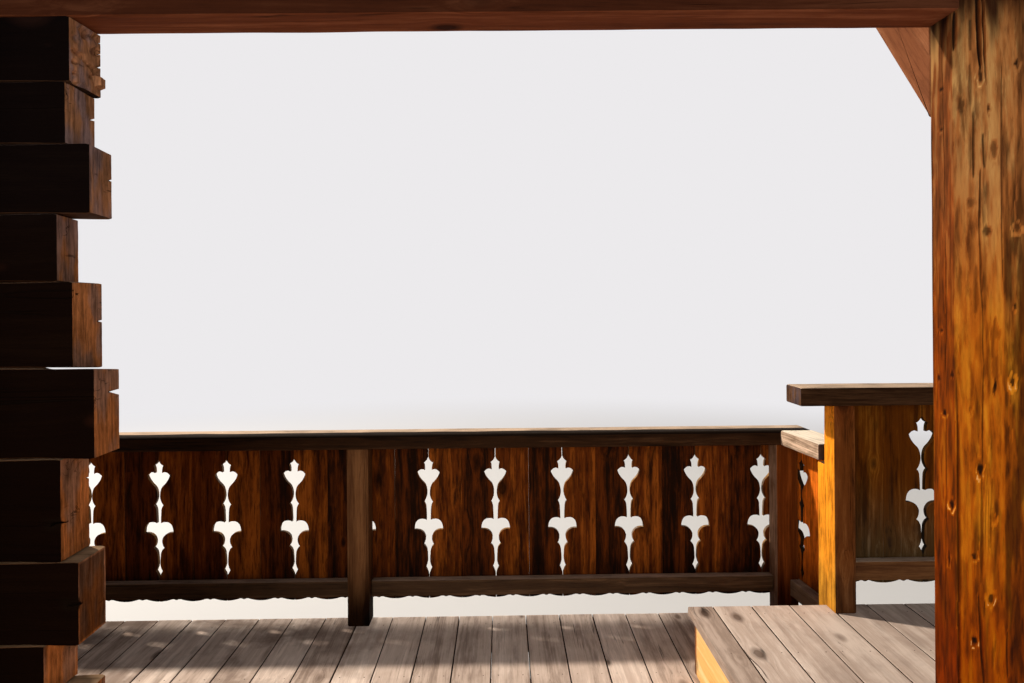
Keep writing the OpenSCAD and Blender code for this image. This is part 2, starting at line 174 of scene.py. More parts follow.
def ramp(tree, value, low, high, to_low=0.0, to_high=1.0):
    """A smooth step of value, from to_low at low to to_high at high."""
    return add(tree, "ShaderNodeMapRange", {0: value, 1: low, 2: high, 3: to_low, 4: to_high},
               interpolation_type="SMOOTHSTEP").outputs[0]


def blend(tree, share, first, second, way="MIX"):
    """Two colours mixed by share."""
    return add(tree, "ShaderNodeMix", {0: share, 6: first, 7: second},
               data_type="RGBA", blend_type=way).outputs[2]


def cloud(tree, vector, scale, detail=2.0, roughness=0.5):
    """Plain noise between 0 and 1."""
    return add(tree, "ShaderNodeTexNoise",
               {"Vector": vector, "Scale": scale, "Detail": detail, "Roughness": roughness}).outputs[0]


def new_group(name, inputs, outputs, kind_of_tree="ShaderNodeTree"):
    """A node group; inputs are (name, kind, value) and outputs are (name, kind)."""
    tree = bpy.data.node_groups.new(name, kind_of_tree)
    for label, kind, value in inputs:
        socket = tree.interface.new_socket(label, in_out="INPUT", socket_type="NodeSocket" + kind)
        if value is not None:
            socket.default_value = value
    for label, kind in outputs:
        tree.interface.new_socket(label, in_out="OUTPUT", socket_type="NodeSocket" + kind)
    return tree, tree.nodes.new("NodeGroupInput").outputs, tree.nodes.new("NodeGroupOutput").inputs


def use_group(tree, group, feeds):
    """Places a shader group and returns its outputs."""
    return add(tree, "ShaderNodeGroup", feeds, node_tree=group).outputs


def new_finish(name):
    """A material, its node tree and its shader."""
    finish = bpy.data.materials.new(name)
    finish.use_nodes = True
    return finish, finish.node_tree, finish.node_tree.nodes["Principled BSDF"]


print("a mid brown in linear light:", [round(c, 3) for c in seen(120, 70, 40)])

# %% [markdown]
# ## Floor and light
# The stage is a plain pale floor under a pale background. One soft lamp stands where the sun is in
# the photograph, high outside on the left, so the uprights get their bright left sides. A wide one
# behind the camera, which shines mostly straight ahead, fills the faces that look inwards. The third
# is a thin weak strip under the rail, for the lit line along the deck's outer edge.

# %% Floor, background and lamps
FLOOR_HALF = 60.0
# The floor fades into the background between these distances from the middle, in metres
FLOOR_FADES = (6.0, 14.0)
BACKGROUND = seen(236, 234, 236)
SKY_TINT, SKY_STRENGTH = (0.93, 0.96, 1.0, 1.0), 0.26

floor_mesh = bpy.data.meshes.new("floor")
floor_corners = [(-FLOOR_HALF, -FLOOR_HALF, 0), (FLOOR_HALF, -FLOOR_HALF, 0),
                 (FLOOR_HALF, FLOOR_HALF, 0), (-FLOOR_HALF, FLOOR_HALF, 0)]
floor_mesh.from_pydata(floor_corners, [], [(0, 1, 2, 3)])
floor = bpy.data.objects.new("floor", floor_mesh)
bpy.context.scene.collection.objects.link(floor)
floor_finish, ground, floor_shader = new_finish("pale_floor")
floor_shader.inputs["Base Color"].default_value = seen(206, 204, 202)
floor_shader.inputs["Roughness"].default_value = 0.9
far = times(ground, ramp(ground, vlength(ground, where_on(ground)), *FLOOR_FADES),
            add(ground, "ShaderNodeLightPath").outputs["Is Camera Ray"])
haze = add(ground, "ShaderNodeEmission", {0: BACKGROUND, 1: 1.0}).outputs[0]
floor_look = add(ground, "ShaderNodeMixShader",
                 {0: far, 1: floor_shader.outputs[0], 2: haze}).outputs[0]
ground.links.new(floor_look, ground.nodes["Material Output"].inputs[0])
floor_mesh.materials.append(floor_finish)

world = bpy.data.worlds.new("studio")
bpy.context.scene.world = world
world.use_nodes = True
sky = world.node_tree
sky.nodes.clear()
rays = add(sky, "ShaderNodeLightPath").outputs
direct = calc(sky, "MAXIMUM", calc(sky, "MAXIMUM", rays["Is Camera Ray"], rays["Is Glossy Ray"]),
              rays["Is Transmission Ray"])
soft = add(sky, "ShaderNodeBackground", {0: SKY_TINT, 1: SKY_STRENGTH}).outputs[0]
pale = add(sky, "ShaderNodeBackground", {0: BACKGROUND, 1: 1.0}).outputs[0]
both = add(sky, "ShaderNodeMixShader", {0: direct, 1: soft, 2: pale}).outputs[0]
add(sky, "ShaderNodeOutputWorld", {0: both})


def lamp(name, place, target, size, watts, colour, height=None, spread=180):
    """A soft lamp that looks at target: square, or a strip when its height is given.

    spread is the angle that its light fills: 180 degrees, or less for one that shines ahead."""
    light = bpy.data.lights.new(name, "AREA")
    light.size = size
    if height:
        light.shape = "RECTANGLE"
        light.size_y = height
    light.spread = math.radians(spread)
    light.energy = watts
    light.color = colour
    made = bpy.data.objects.new(name, light)
    made.location = place
    made.rotation_euler = (Vector(target) - Vector(place)).to_track_quat("-Z", "Y").to_euler()
    made.visible_camera = False
    bpy.context.scene.collection.objects.link(made)


lamp("sun_side_lamp", (-10.2, 5.88, 13.2), (0.4, 0.6, 0.9), 0.72, 3790, (1.0, 0.92, 0.82))
lamp("under_rail_lamp", (-0.6, 1.37, 0.60), (-0.6, 1.20, 0.44), 3.4, 3.8, (1.0, 0.94, 0.86), 0.03)
lamp("inside_lamp", (-1.2, -7.5, 2.8), (0.3, 0.4, 1.4), 5.0, 220, (1.0, 0.97, 0.94), spread=130)
bpy.context.scene.view_settings.view_transform = "Standard"
print("floor, background and three lamps")

# %% [markdown]
# ## Wood, from its grain
# Every timber here is softwood, so one shader group makes the grain for all of them. It reads a
# vector that each piece carries as an attribute called grain: metres along the log, and two across
# it. Streaks are noise pulled out along the first axis. Knots are the cells of a Voronoi texture, and
# the grain is bent round them by moving the vector before the streaks read it. Drying checks are the
# level lines of a long, slow noise, which gives the spindle shapes that real checks have.

# %% Group: streaks, knots and checks
# How many of each pattern fit into a metre, along the grain and twice across it
FIBRE_PITCH, MOTTLE_PITCH = (16, 420, 420), (8, 32, 32)
SPLIT_PITCH, OPEN_PITCH = (0.35, 24, 24), (2.2, 9, 9)
# A cell of this size holds one knot at most; the least and the largest radius of a knot
KNOT_CELL, KNOT_RADII = (0.34, 0.12, 0.12), (0.007, 0.021)


def build_grain_group():
    tree, given, result = new_group(
        "timber_grain",
        [("Grain", "Vector", None), ("Streak Width", "Float", 0.02), ("Stretch", "Float", 22.0),
         ("Mottle", "Float", 0.2), ("Knots", "Float", 0.5), ("Checks", "Float", 0.5),
         ("Ring Pitch", "Float", 0.007)],
        [("Streaks", "Float"), ("Bands", "Float"), ("Knots", "Float"), ("Rims", "Float"),
         ("Checks", "Float"), ("Height", "Float")])
    grain = given["Grain"]
    shrunk = vcalc(tree, "DIVIDE", grain, KNOT_CELL)
    cells = add(tree, "ShaderNodeTexVoronoi", {"Vector": shrunk, "Scale": 1.0}).outputs
    lean = vtimes(tree, vcalc(tree, "SUBTRACT", shrunk, cells["Position"]), KNOT_CELL)
    oval = vlength(tree, vtimes(tree, lean, (0.55, 1, 1)))
    chance = add(tree, "ShaderNodeSeparateColor", {0: cells["Color"]}).outputs
    there = calc(tree, "LESS_THAN", chance[1], given["Knots"])
    radius = ramp(tree, chance[0], 0, 1, *KNOT_RADII)
    ratio = calc(tree, "DIVIDE", oval, radius)
    knot = times(tree, ramp(tree, ratio, 0.75, 1.05, 1, 0), there)
    ring = times(tree, ramp(tree, ratio, 0.6, 1.0), ramp(tree, ratio, 1.0, 1.9, 1, 0))
    rim = times(tree, ring, there)
    pull = times(tree, ramp(tree, ratio, 0.4, 4.0, 0.95, 0), there)
    pulled = add(tree, "ShaderNodeVectorMath", {0: lean, "Scale": pull}, operation="SCALE").outputs[0]
    bent = vcalc(tree, "SUBTRACT", grain, vtimes(tree, pulled, (0, 1, 1)))
    drift = add(tree, "ShaderNodeTexNoise", {
        "Vector": vtimes(tree, bent, (1.1, 2.5, 2.5)), "Scale": 1.0, "Detail": 1.0}).outputs["Color"]
    drift = vcalc(tree, "SUBTRACT", drift, (0.5, 0.5, 0.5))
    bent = vcalc(tree, "ADD", bent, vtimes(tree, drift, (0, 0.05, 0.05)))
    wide = given["Streak Width"]
    per_streak = add(tree, "ShaderNodeCombineXYZ", {
        0: calc(tree, "DIVIDE", calc(tree, "DIVIDE", 1.0, given["Stretch"]), wide),
        1: calc(tree, "DIVIDE", 1.0, wide), 2: calc(tree, "DIVIDE", 1.0, wide)}).outputs[0]
    stretched = vtimes(tree, bent, per_streak)
    streaks = cloud(tree, stretched, 1.0, 7.0, 0.7)
    bands = cloud(tree, vcalc(tree, "ADD", stretched, (7.3, 2.1, 4.4)), 0.24, 2.0, 0.5)
    fibres = cloud(tree, vtimes(tree, bent, FIBRE_PITCH), 1.0, 3.0, 0.65)
    mottle = cloud(tree, vtimes(tree, grain, MOTTLE_PITCH), 1.0, 6.0, 0.65)
    pith = vlength(tree, vtimes(tree, vcalc(tree, "ADD", bent, (0, 0.03, 0.05)), (0, 1, 1)))
    wander = times(tree, minus(tree, bands, 0.5), 0.03)
    turns = calc(tree, "DIVIDE", plus(tree, pith, wander), given["Ring Pitch"])
    rings = calc(tree, "POWER", calc(tree, "FRACT", turns), 2.5)
    split = cloud(tree, vtimes(tree, bent, SPLIT_PITCH), 1.0, 2.0, 0.5)
    where = cloud(tree, vtimes(tree, grain, OPEN_PITCH), 1.0, 2.0, 0.5)
    line = ramp(tree, calc(tree, "ABSOLUTE", minus(tree, split, 0.5)), 0.001, 0.014, 1, 0)
    open_here = ramp(tree, plus(tree, where, times(tree, given["Checks"], 0.2)), 0.66, 0.80)
    check = times(tree, line, open_here)
    long_share = minus(tree, 0.78, given["Mottle"])
    ground = plus(tree, times(tree, ramp(tree, streaks, 0.22, 0.78), long_share),
                  times(tree, ramp(tree, mottle, 0.25, 0.75), given["Mottle"]))
    fine = minus(tree, times(tree, fibres, 0.26), times(tree, rings, 0.12))
    mixed = plus(tree, ground, fine, clamp=True)
    height = minus(tree, plus(tree, times(tree, mixed, 0.45), times(tree, fibres, 0.25)),
                   plus(tree, check, times(tree, rim, 0.2)))
    for label, value in (("Streaks", mixed), ("Bands", bands), ("Knots", knot), ("Rims", rim),
                         ("Checks", check), ("Height", height)):
        tree.links.new(value, result[label])
    return tree


GRAIN = build_grain_group()
print("group:", GRAIN.name, "nodes:", len(GRAIN.nodes))

# %% [markdown]
# ## Weather, and painted side light
# Old timber changes with its exposure: faces that look up turn grey and pale, and sawn ends go
# rough and brown. Faces that look left, where the sun stood, get a painted colour: painted sunlight
# on the railing's posts, boards and caps, and painted shade on the hewn post's side. The next group
# works those three out of a colour and the surface's direction, so that every material can take its
# own share of each.

# %% Group: weather, and painted light and shade on the faces that look left
# From and to where a face counts as looking up, or left for its painted light and shade: the z
# and the -x of its direction
LOOKS_UP, LOOKS_TO_PAINTED_SIDE = (0.45, 0.85), (0.5, 0.85)
# Patterns of a sawn end, per metre: saw marks, blotches, cracks and the change from warm to cold
SAW_PITCH, BLOTCH_PITCH, CRACK_PITCH, HUE_PITCH = (95, 95, 7), (13, 13, 9), (7, 7, 60), (16, 16, 7)
WORN_DARK, END_DARK, CRACK_DARK = seen(70, 60, 54), seen(30, 18, 11), seen(24, 15, 10)
WARM, COLD = seen(255, 222, 184), seen(222, 222, 244)


def build_weather_and_painted_side_group():
    tree, given, result = new_group(
        "weathering",
        [("Color", "Color", (0.5, 0.5, 0.5, 1)), ("Streaks", "Float", 0.5),
         ("Top", "Color", (1, 1, 1, 1)), ("Top Share", "Float", 0.0),
         ("Sun Side", "Color", (1, 1, 1, 1)), ("Sun Share", "Float", 0.0),
         ("End", "Color", (1, 1, 1, 1)), ("End Share", "Float", 0.0), ("Top Wear", "Float", 0.75)],
        [("Color", "Color"), ("Ends", "Float"), ("End Height", "Float")])
    facing = facing_of(tree)
    place = where_on(tree)
    patches = cloud(tree, place, 5.0, 4.0, 0.6)
    worn = plus(tree, times(tree, given["Streaks"], 0.7), times(tree, patches, 0.6))
    upward = times(tree, ramp(tree, facing[2], *LOOKS_UP), given["Top Share"])
    bare = times(tree, ramp(tree, worn, 0.3, 0.9, 1.0, 0.0), given["Top Wear"])
    top = blend(tree, times(tree, upward, ramp(tree, worn, 0.25, 0.65, 0.55, 1.0)), given["Color"],
                blend(tree, bare, given["Top"], WORN_DARK))
    # Painted light and shade: faces that look left take the painted side colour, streaked by the wear
    painted_side_mask = times(tree, ramp(tree, times(tree, facing[0], -1.0), *LOOKS_TO_PAINTED_SIDE),
                  times(tree, given["Sun Share"], ramp(tree, worn, 0.2, 0.8, 0.6, 1.0)))
    painted_side_streaks = blend(tree, ramp(tree, worn, 0.45, 0.85), seen(190, 184, 176), (1.3, 1.3, 1.3, 1.0))
    side = blend(tree, painted_side_mask, top, blend(tree, 1.0, given["Sun Side"], painted_side_streaks, "MULTIPLY"))
    cut = told(tree, "cut")
    saw = cloud(tree, vtimes(tree, place, SAW_PITCH), 1.0, 6.0, 0.72)
    blotch = cloud(tree, vtimes(tree, place, BLOTCH_PITCH), 1.0, 4.0, 0.65)
    torn = cloud(tree, vtimes(tree, place, CRACK_PITCH), 1.0, 3.0, 0.6)
    crack = ramp(tree, torn, 0.66, 0.74)
    shade = plus(tree, times(tree, saw, 0.9), times(tree, blotch, 0.6))
    rough_end = blend(tree, ramp(tree, shade, 0.50, 1.0, 0.0, 1.0),
                      blend(tree, 0.80, given["End"], END_DARK), given["End"])
    rough_end = blend(tree, times(tree, crack, 0.55), rough_end, CRACK_DARK)
    hue = cloud(tree, vtimes(tree, place, HUE_PITCH), 1.0, 2.0, 0.5)
    hue = blend(tree, ramp(tree, hue, 0.42, 0.58), WARM, COLD)
    rough_end = blend(tree, 1.0, rough_end, hue, "MULTIPLY")
    ends = times(tree, cut, given["End Share"])
    tree.links.new(blend(tree, ends, side, rough_end), result["Color"])
    tree.links.new(ends, result["Ends"])
    tree.links.new(minus(tree, plus(tree, saw, blotch), crack), result["End Height"])
    return tree


WEATHER_AND_PAINTED_SIDE = build_weather_and_painted_side_group()
print("group:", WEATHER_AND_PAINTED_SIDE.name, "nodes:", len(WEATHER_AND_PAINTED_SIDE.nodes))

# %% [markdown]
# ## One recipe for all the woods
# A wood is three colours from its dark streaks to its pale ones, a knot colour, how much of each
# kind of weather it has had, and how much painted light and shade it takes on the faces that look
# into the loggia and to the left. Writing the recipe once as a function keeps the woods related, as
# they are on the real building, and leaves each material short enough to compare with the photo.

# %% The wood recipe
# Stains and wisps per metre along the grain and across it, patches of dirt and of painted shade per
# metre, where in x and in y those patches grow into painted shade, towards the log wall and the
# railing, how many times more there is by the rail, and how far the edge of a tint wanders, in metres
STAIN_PITCH = (3.2, 20.0, 20.0)
WISP_PITCH = (11.0, 84.0, 84.0)
DIRT_AND_SHADE_PITCH = 2.6
PAINTED_SHADE_TO_LEFT, PAINTED_SHADE_TO_RAIL = (-0.35, -1.1), (0.80, 0.95)
PAINTED_SHADE_BY_RAIL = 2.0
TINT_WANDER = 0.3
ARRIS_RUB = 0.45
# The first of these is the near black of painted shade, on faces that look into the loggia
PAINTED_SHADE_BLACK, CHECK_DARK, PIT_DARK = (9, 4, 3), (14, 8, 5), (16, 8, 4)


def wood(name, dark, mid, pale_streak, streak=0.02, stretch=22.0, mottle=0.2, knots=0.5,
         checks=0.5, pitch=0.007, knot_colour=(30, 14, 8), top=None, painted_side=None, painted_side_share=1.0,
         end=None, shine=(0.62, 0.86), gloss=0.02, relief=0.0025, tone_swing=0.35, tints=(),
         inner_shade=0.0, stains=0.0, stain_colour=(14, 7, 4), wisps=0.0, dirt=0.0, painted_shade_left=0.0,
         top_wear=0.75, along_x=False):
    """A softwood finish; tints are (height, colour) from low to high, which multiply the colour.

    inner_shade paints shade, near black, on the faces that look into the loggia, and keeps grey tops
    and rubbed arrises off them. The side colour and its share paint light and shade on the faces that
    look left. stains, wisps and dirt are the shares of long dark patches, of thin dark streaks and of
    broad patches that cross the joints. The share at the far left, and its doubling by the rail, lay
    painted shade into the same patches. top_wear is how much of the dark wood shows through a grey
    top. along_x reads the grain from the object's own axes instead of the attribute."""
    finish, tree, shader = new_finish(name)
    grain = where_on(tree) if along_x else told(tree, "grain", "Vector")
    tone = told(tree, "tone")
    made = use_group(tree, GRAIN, {"Grain": grain, "Streak Width": streak, "Stretch": stretch,
                                   "Mottle": mottle, "Knots": knots, "Checks": checks,
                                   "Ring Pitch": pitch})
    level = plus(tree, times(tree, made["Streaks"], 0.75),
                 times(tree, ramp(tree, made["Bands"], 0.3, 0.7), 0.35))
    level = plus(tree, level, times(tree, minus(tree, tone, 0.5), tone_swing), clamp=True)
    colour = blend(tree, ramp(tree, level, 0.08, 0.52), seen(*dark), seen(*mid))
    colour = blend(tree, ramp(tree, level, 0.50, 0.98), colour, seen(*pale_streak))
    top_share, rubbed = (1.0 if top else 0.0), ARRIS_RUB
    # Painted shade: faces that look into the loggia go near black, without grey tops or rubbed arrises
    if inner_shade:
        inward = facing_of(tree)[1]
        colour = blend(tree, ramp(tree, inward, -0.85, -0.15, inner_shade, 0.0), colour, seen(*PAINTED_SHADE_BLACK))
        top_share = ramp(tree, inward, -0.5, -0.05, 0.0, top_share)
        rubbed = ramp(tree, inward, -0.95, -0.15, 0.0, rubbed)
    if stains:
        patch = cloud(tree, vtimes(tree, grain, STAIN_PITCH), 1.0, 4.0, 0.62)
        colour = blend(tree, ramp(tree, patch, 0.50, 0.70, 0.0, stains), colour, seen(*stain_colour))
    colour = blend(tree, times(tree, made["Rims"], 0.55), colour, seen(*knot_colour))
    colour = blend(tree, times(tree, made["Knots"], 0.8), colour, seen(*knot_colour))
    weathered_and_painted = use_group(tree, WEATHER_AND_PAINTED_SIDE, {
        "Color": colour, "Streaks": made["Streaks"], "Top": seen(*(top or mid)), "Top Share": top_share,
        "Sun Side": seen(*(painted_side or mid)), "Sun Share": painted_side_share if painted_side else 0.0,
        "End": seen(*(end or mid)), "End Share": 1.0, "Top Wear": top_wear})
    colour = weathered_and_painted["Color"]
    if wisps:
        wisp = cloud(tree, vtimes(tree, grain, WISP_PITCH), 1.0, 4.0, 0.62)
        colour = blend(tree, ramp(tree, wisp, 0.50, 0.62, 0.0, wisps), colour, seen(*dark))
    if dirt:
        place = where_on(tree)
        where = parts(tree, place)
        # Towards the log wall and by the rail, the patches paint shade as well as dirt
        dirt_and_shade_by_rail = dirt * PAINTED_SHADE_BY_RAIL if painted_shade_left else dirt
        share = plus(tree, ramp(tree, where[0], *PAINTED_SHADE_TO_LEFT, 0.0, painted_shade_left),
                     ramp(tree, where[1], *PAINTED_SHADE_TO_RAIL, dirt, dirt_and_shade_by_rail))
        patch = cloud(tree, place, DIRT_AND_SHADE_PITCH, 5.0, 0.62)
        dirt_and_painted_shade = times(tree, ramp(tree, patch, 0.44, 0.62), share)
        colour = blend(tree, dirt_and_painted_shade, colour, seen(*stain_colour))
    pit = told(tree, "dark")
    uneven_rub = times(tree, ramp(tree, made["Streaks"], 0.3, 0.8), rubbed)
    rub = times(tree, told(tree, "edge"), uneven_rub)
    colour = blend(tree, rub, colour, seen(*pale_streak))
    if tints:
        wander = times(tree, minus(tree, made["Bands"], 0.5), TINT_WANDER)
        uneven = plus(tree, parts(tree, where_on(tree))[2], wander)
        colour = blend(tree, ramp(tree, pit, 0.0, -1.0, 0.0, 0.9), colour, seen(*pale_streak))
        tint = seen(*tints[0][1])
        for (low, _), (high, high_colour) in zip(tints, tints[1:]):
            tint = blend(tree, ramp(tree, uneven, low, high), tint, seen(*high_colour))
        colour = blend(tree, 1.0, colour, tint, "MULTIPLY")
    colour = blend(tree, times(tree, made["Checks"], 0.85), colour, seen(*CHECK_DARK))
    colour = blend(tree, ramp(tree, pit, 0.0, 1.0, 0.0, 0.98), colour, seen(*PIT_DARK))
    colour = blend(tree, ramp(tree, pit, -0.55, -1.0, 0.0, 0.9), colour, seen(*pale_streak))
    tree.links.new(colour, shader.inputs["Base Color"])
    tree.links.new(ramp(tree, level, 0.1, 0.9, shine[0], shine[1]), shader.inputs["Roughness"])
    shader.inputs["Specular IOR Level"].default_value = gloss
    relief_height = plus(tree, made["Height"], times(tree, weathered_and_painted["Ends"], weathered_and_painted["End Height"]))
    bump = add(tree, "ShaderNodeBump", {"Strength": 0.8, "Distance": relief, "Height": relief_height})
    tree.links.new(bump.outputs[0], shader.inputs["Normal"])
    return finish


# inner_shade paints shade on the faces that look into the loggia: near black on the logs, and darker on
# the beam's near face
LOG = wood("log_wood", (34, 20, 12), (76, 46, 28), (118, 80, 52), streak=0.026, knots=0.35, checks=0.7,
           top=(150, 130, 114), end=(222, 164, 124), relief=0.005, inner_shade=0.98, gloss=0.005,
           tints=[(1.5, (255, 236, 206)), (2.1, (255, 250, 240)), (2.5, (236, 255, 285))])
BEAM = wood("beam_wood", (48, 22, 11), (102, 52, 30), (138, 80, 52), streak=0.018, checks=0.5,
            top=(120, 104, 92), end=(120, 84, 60), inner_shade=0.74, gloss=0.01)
# The post's side colour is painted shade on its left side, and its last tint, near black at the top, a
# painted shadow of the eaves
POST = wood("post_wood", (92, 42, 18), (180, 104, 54), (222, 158, 96), streak=0.011, stretch=9.0,
            mottle=0.46, knots=0.0, checks=0.25, pitch=0.012, knot_colour=(40, 18, 8), wisps=0.4,
            end=(150, 100, 60), gloss=0.03, painted_side=(134, 64, 27), painted_side_share=0.9, relief=0.002,
            tints=[(1.15, (204, 154, 28)), (1.6, (240, 206, 72)), (1.95, (242, 214, 92)),
                   (2.5, (220, 230, 220)), (2.76, (214, 230, 226)), (2.92, (60, 54, 54))])
BRACKET = wood("bracket_wood", (84, 44, 24), (124, 74, 46), (152, 100, 68), streak=0.014, mottle=0.4,
               knots=0.15, checks=0.0, top=(150, 130, 114), end=(140, 96, 70), stains=0.25,
               stain_colour=(70, 36, 20))
print("the wall's and the frame's woods are ready")

# %% The woods of the railings
SHADED_FOOT = [(0.50, (130, 116, 110)), (0.82, (255, 255, 255))]
DARK_FOOT = [(0.50, (86, 80, 74)), (0.85, (255, 255, 255))]
PLANED_WOOD = {"streak": 0.010, "knots": 0.3, "end": (132, 110, 100)}
RAIL_WOOD = PLANED_WOOD | {"streak": 0.011, "checks": 0.4, "top": (150, 122, 102)}
SAWN_WOOD = {"streak": 0.012, "mottle": 0.3, "knots": 0.45, "checks": 0.2, "end": (60, 44, 28)}
RAIL = wood("rail_wood", (29, 20, 13), (58, 40, 26), (88, 64, 44), **RAIL_WOOD)
GREY_RAIL = wood("grey_rail_wood", (62, 44, 32), (104, 80, 62), (140, 112, 90), **RAIL_WOOD)
UPRIGHT = wood("upright_wood", (43, 25, 13), (78, 48, 27), (112, 75, 45), checks=0.6,
               top=(190, 164, 140), tints=DARK_FOOT, **PLANED_WOOD)
# The corner post's side colour is painted sunlight, a pale strip on its left face
CORNER = wood("corner_wood", (44, 18, 5), (90, 42, 11), (124, 64, 22), checks=0.5,
              top=(190, 164, 140), tints=SHADED_FOOT, painted_side=(150, 116, 92), painted_side_share=0.8,
              **PLANED_WOOD)
# The return post and the upper posts get painted sunlight, bright orange, on their left faces
PAINTED_SUN_WOOD = wood("sunny_wood", (52, 26, 10), (106, 58, 26), (142, 90, 50), mottle=0.35, checks=0.5,
             top=(206, 180, 158), painted_side=(252, 158, 44), **PLANED_WOOD,
             tints=[(0.80, (205, 225, 255)), (1.05, (240, 240, 230)), (1.45, (255, 250, 222)),
                    (1.75, (240, 214, 200))])
# The caps' side colour is painted sunlight, pale on their left faces
CAP, PALE_CAP = (
    wood(name, (18, 9, 4), (40, 23, 11), (72, 48, 30), streak=0.012, knots=0.3, checks=0.4, top=top,
         painted_side=(206, 176, 150), end=(110, 90, 80), top_wear=top_wear)
    for name, top, top_wear in (("cap_wood", (210, 180, 152), 0.6),
                                ("pale_cap_wood", (255, 236, 210), 0.1)))
# The end colour, pale, is painted sunlight on the sawn sides of these boards and of their cut-outs
BOARD = wood("board_wood", (24, 9, 2), (78, 34, 7), (133, 69, 20), streak=0.012, mottle=0.3,
             knots=0.5, knot_colour=(8, 4, 2), checks=0.2, end=(186, 160, 122), tone_swing=0.55,
             stains=0.85, wisps=0.5, tints=[(0.50, (90, 92, 98)), (0.86, (255, 255, 255))])
# The upper boards' tints paint light and shade: greyer below and warmer above, as across a shadow edge
UPPER_BOARD = wood("upper_board_wood", (40, 18, 5), (86, 44, 12), (128, 80, 38), stains=0.6,
                   tints=[(0.85, (212, 290, 420)), (1.35, (255, 246, 170))], **SAWN_WOOD)
# The return's boards get painted sunlight, orange, on their left faces, and tints that paint shade,
# dark and cool, towards their foot
RETURN_BOARD = wood("return_board_wood", (48, 22, 7), (108, 52, 15), (156, 84, 34), stains=0.5,
                    painted_side=(228, 114, 30), tints=[(0.55, (130, 130, 150)), (1.0, (255, 255, 255))],
                    **SAWN_WOOD)
print("the railings' woods are ready")

# %% The woods of the floors and what carries them
FLOOR_WOOD = {"stretch": 30.0, "checks": 0.5, "knot_colour": (86, 66, 54), "end": (56, 44, 36),
              "shine": (0.75, 0.95), "relief": 0.002}
# The deck's dirt patches also paint shade, growing towards the log wall and doubled by the railing
DECK = wood("deck_wood", (148, 128, 114), (198, 176, 160), (226, 206, 190), streak=0.009, mottle=0.3,
            knots=0.5, tone_swing=0.45, stains=0.45, dirt=0.13, painted_shade_left=0.5,
            stain_colour=(112, 92, 80), **FLOOR_WOOD)
PLATFORM = wood("platform_wood", (150, 129, 114), (184, 162, 146), (208, 188, 172), streak=0.012,
                mottle=0.4, knots=0.6, tone_swing=0.35, stains=0.3, dirt=0.3,
                stain_colour=(124, 104, 92), **FLOOR_WOOD)
# The risers' bright orange-yellow is fresher wood with painted sunlight on it
PAINTED_SUN_RISER = wood("riser_wood", (206, 128, 60), (248, 190, 116), (252, 218, 160), streak=0.016, knots=0.3,
             checks=0.3, knot_colour=(120, 60, 24), end=(190, 130, 80))
FRAME, FRAME_X = (wood(name, (70, 50, 36), (108, 82, 60), (142, 112, 86), streak=0.014, knots=0.4,
                       checks=0.6, end=(134, 104, 78), along_x=along_x)
                  for name, along_x in (("frame_wood", False), ("frame_wood_along_x", True)))
print("woods:", [m.name for m in bpy.data.materials if m.name.endswith("_wood")])

# %% [markdown]
# ## A heap of timber
# Most pieces are many timbers, so the script gathers their corners and faces in a heap and makes
# one mesh at the end. With the shape go five attributes: grain for the wood's direction, tone for
# the difference from timber to timber, edge for rubbed arrises, dark for listed checks and
# knots, and cut for sawn ends. The first four sit on points, and cut sits on faces.

# %% The heap, which turns lists of timbers into one piece
SHARP_FROM = math.radians(38)


def store(mesh, label, values, kind="FLOAT", domain="POINT"):
    """Writes an attribute of the mesh; a vector is a row of three numbers."""
    made = mesh.attributes.new(label, kind, domain)
    made.data.foreach_set("vector" if kind == "FLOAT_VECTOR" else "value", np.asarray(
        values, np.int32 if kind == "INT" else np.float32).ravel())


def soften(mesh):
    """Smooth faces, with the arrises kept sharp."""
    mesh.shade_smooth()
    mesh.set_sharp_from_angle(angle=SHARP_FROM)


class Heap:
    """Collects shells of points and faces, and makes one mesh object of them."""

    def __init__(self):
        self.points, self.faces, self.cuts = [], [], []
        self.grain, self.tone, self.edge, self.dark = [], [], [], []
        self.count = 0

    def add(self, points, faces, grain, tone=0.5, edge=None, dark=None, cuts=None):
        points = np.asarray(points, float)
        size = len(points)
        self.points.append(points)
        self.faces += [[self.count + int(k) for k in face] for face in faces]
        self.cuts += list(cuts) if cuts is not None else [0.0] * len(faces)
        self.grain.append(np.asarray(grain, float))
        self.tone.append(np.full(size, tone))
        self.edge.append(np.zeros(size) if edge is None else np.asarray(edge, float))
        self.dark.append(np.zeros(size) if dark is None else np.asarray(dark, float))
        self.count += size

    def mesh(self, name):
        made = bpy.data.meshes.new(name)
        made.from_pydata(np.concatenate(self.points).tolist(), [], self.faces)
        for label, values in (("tone", self.tone), ("edge", self.edge), ("dark", self.dark)):
            store(made, label, np.concatenate(values))
        store(made, "grain", np.concatenate(self.grain), "FLOAT_VECTOR")
        store(made, "cut", self.cuts, domain="FACE")
        soften(made)
        return made

    def object(self, name, finish):
        made = bpy.data.objects.new(name, self.mesh(name))
        made.data.materials.append(finish)
        bpy.context.scene.collection.objects.link(made)
        return made

    def piece(self, name, finish, slot, *replaced):
        hand_in(self.object(name, finish), slot, *replaced)


def hand_in(made, slot, *replaced):
    """Attaches a finished piece to the root body and hides the nodes that it stands for; slot is not
    used.
    """
    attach(made, "root")
    if replaced:
        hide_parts(*replaced)
    made.data.calc_loop_triangles()
    print(f"{made.name}: {len(made.data.loop_triangles)} triangles")


def join_to(base, extra):
    """Makes the extra object a part of the base one."""
    bpy.ops.object.select_all(action="DESELECT")
    for made in (extra, base):
        made.select_set(True)
    bpy.context.view_layer.objects.active = base
    bpy.ops.object.join()


print("heap ready")

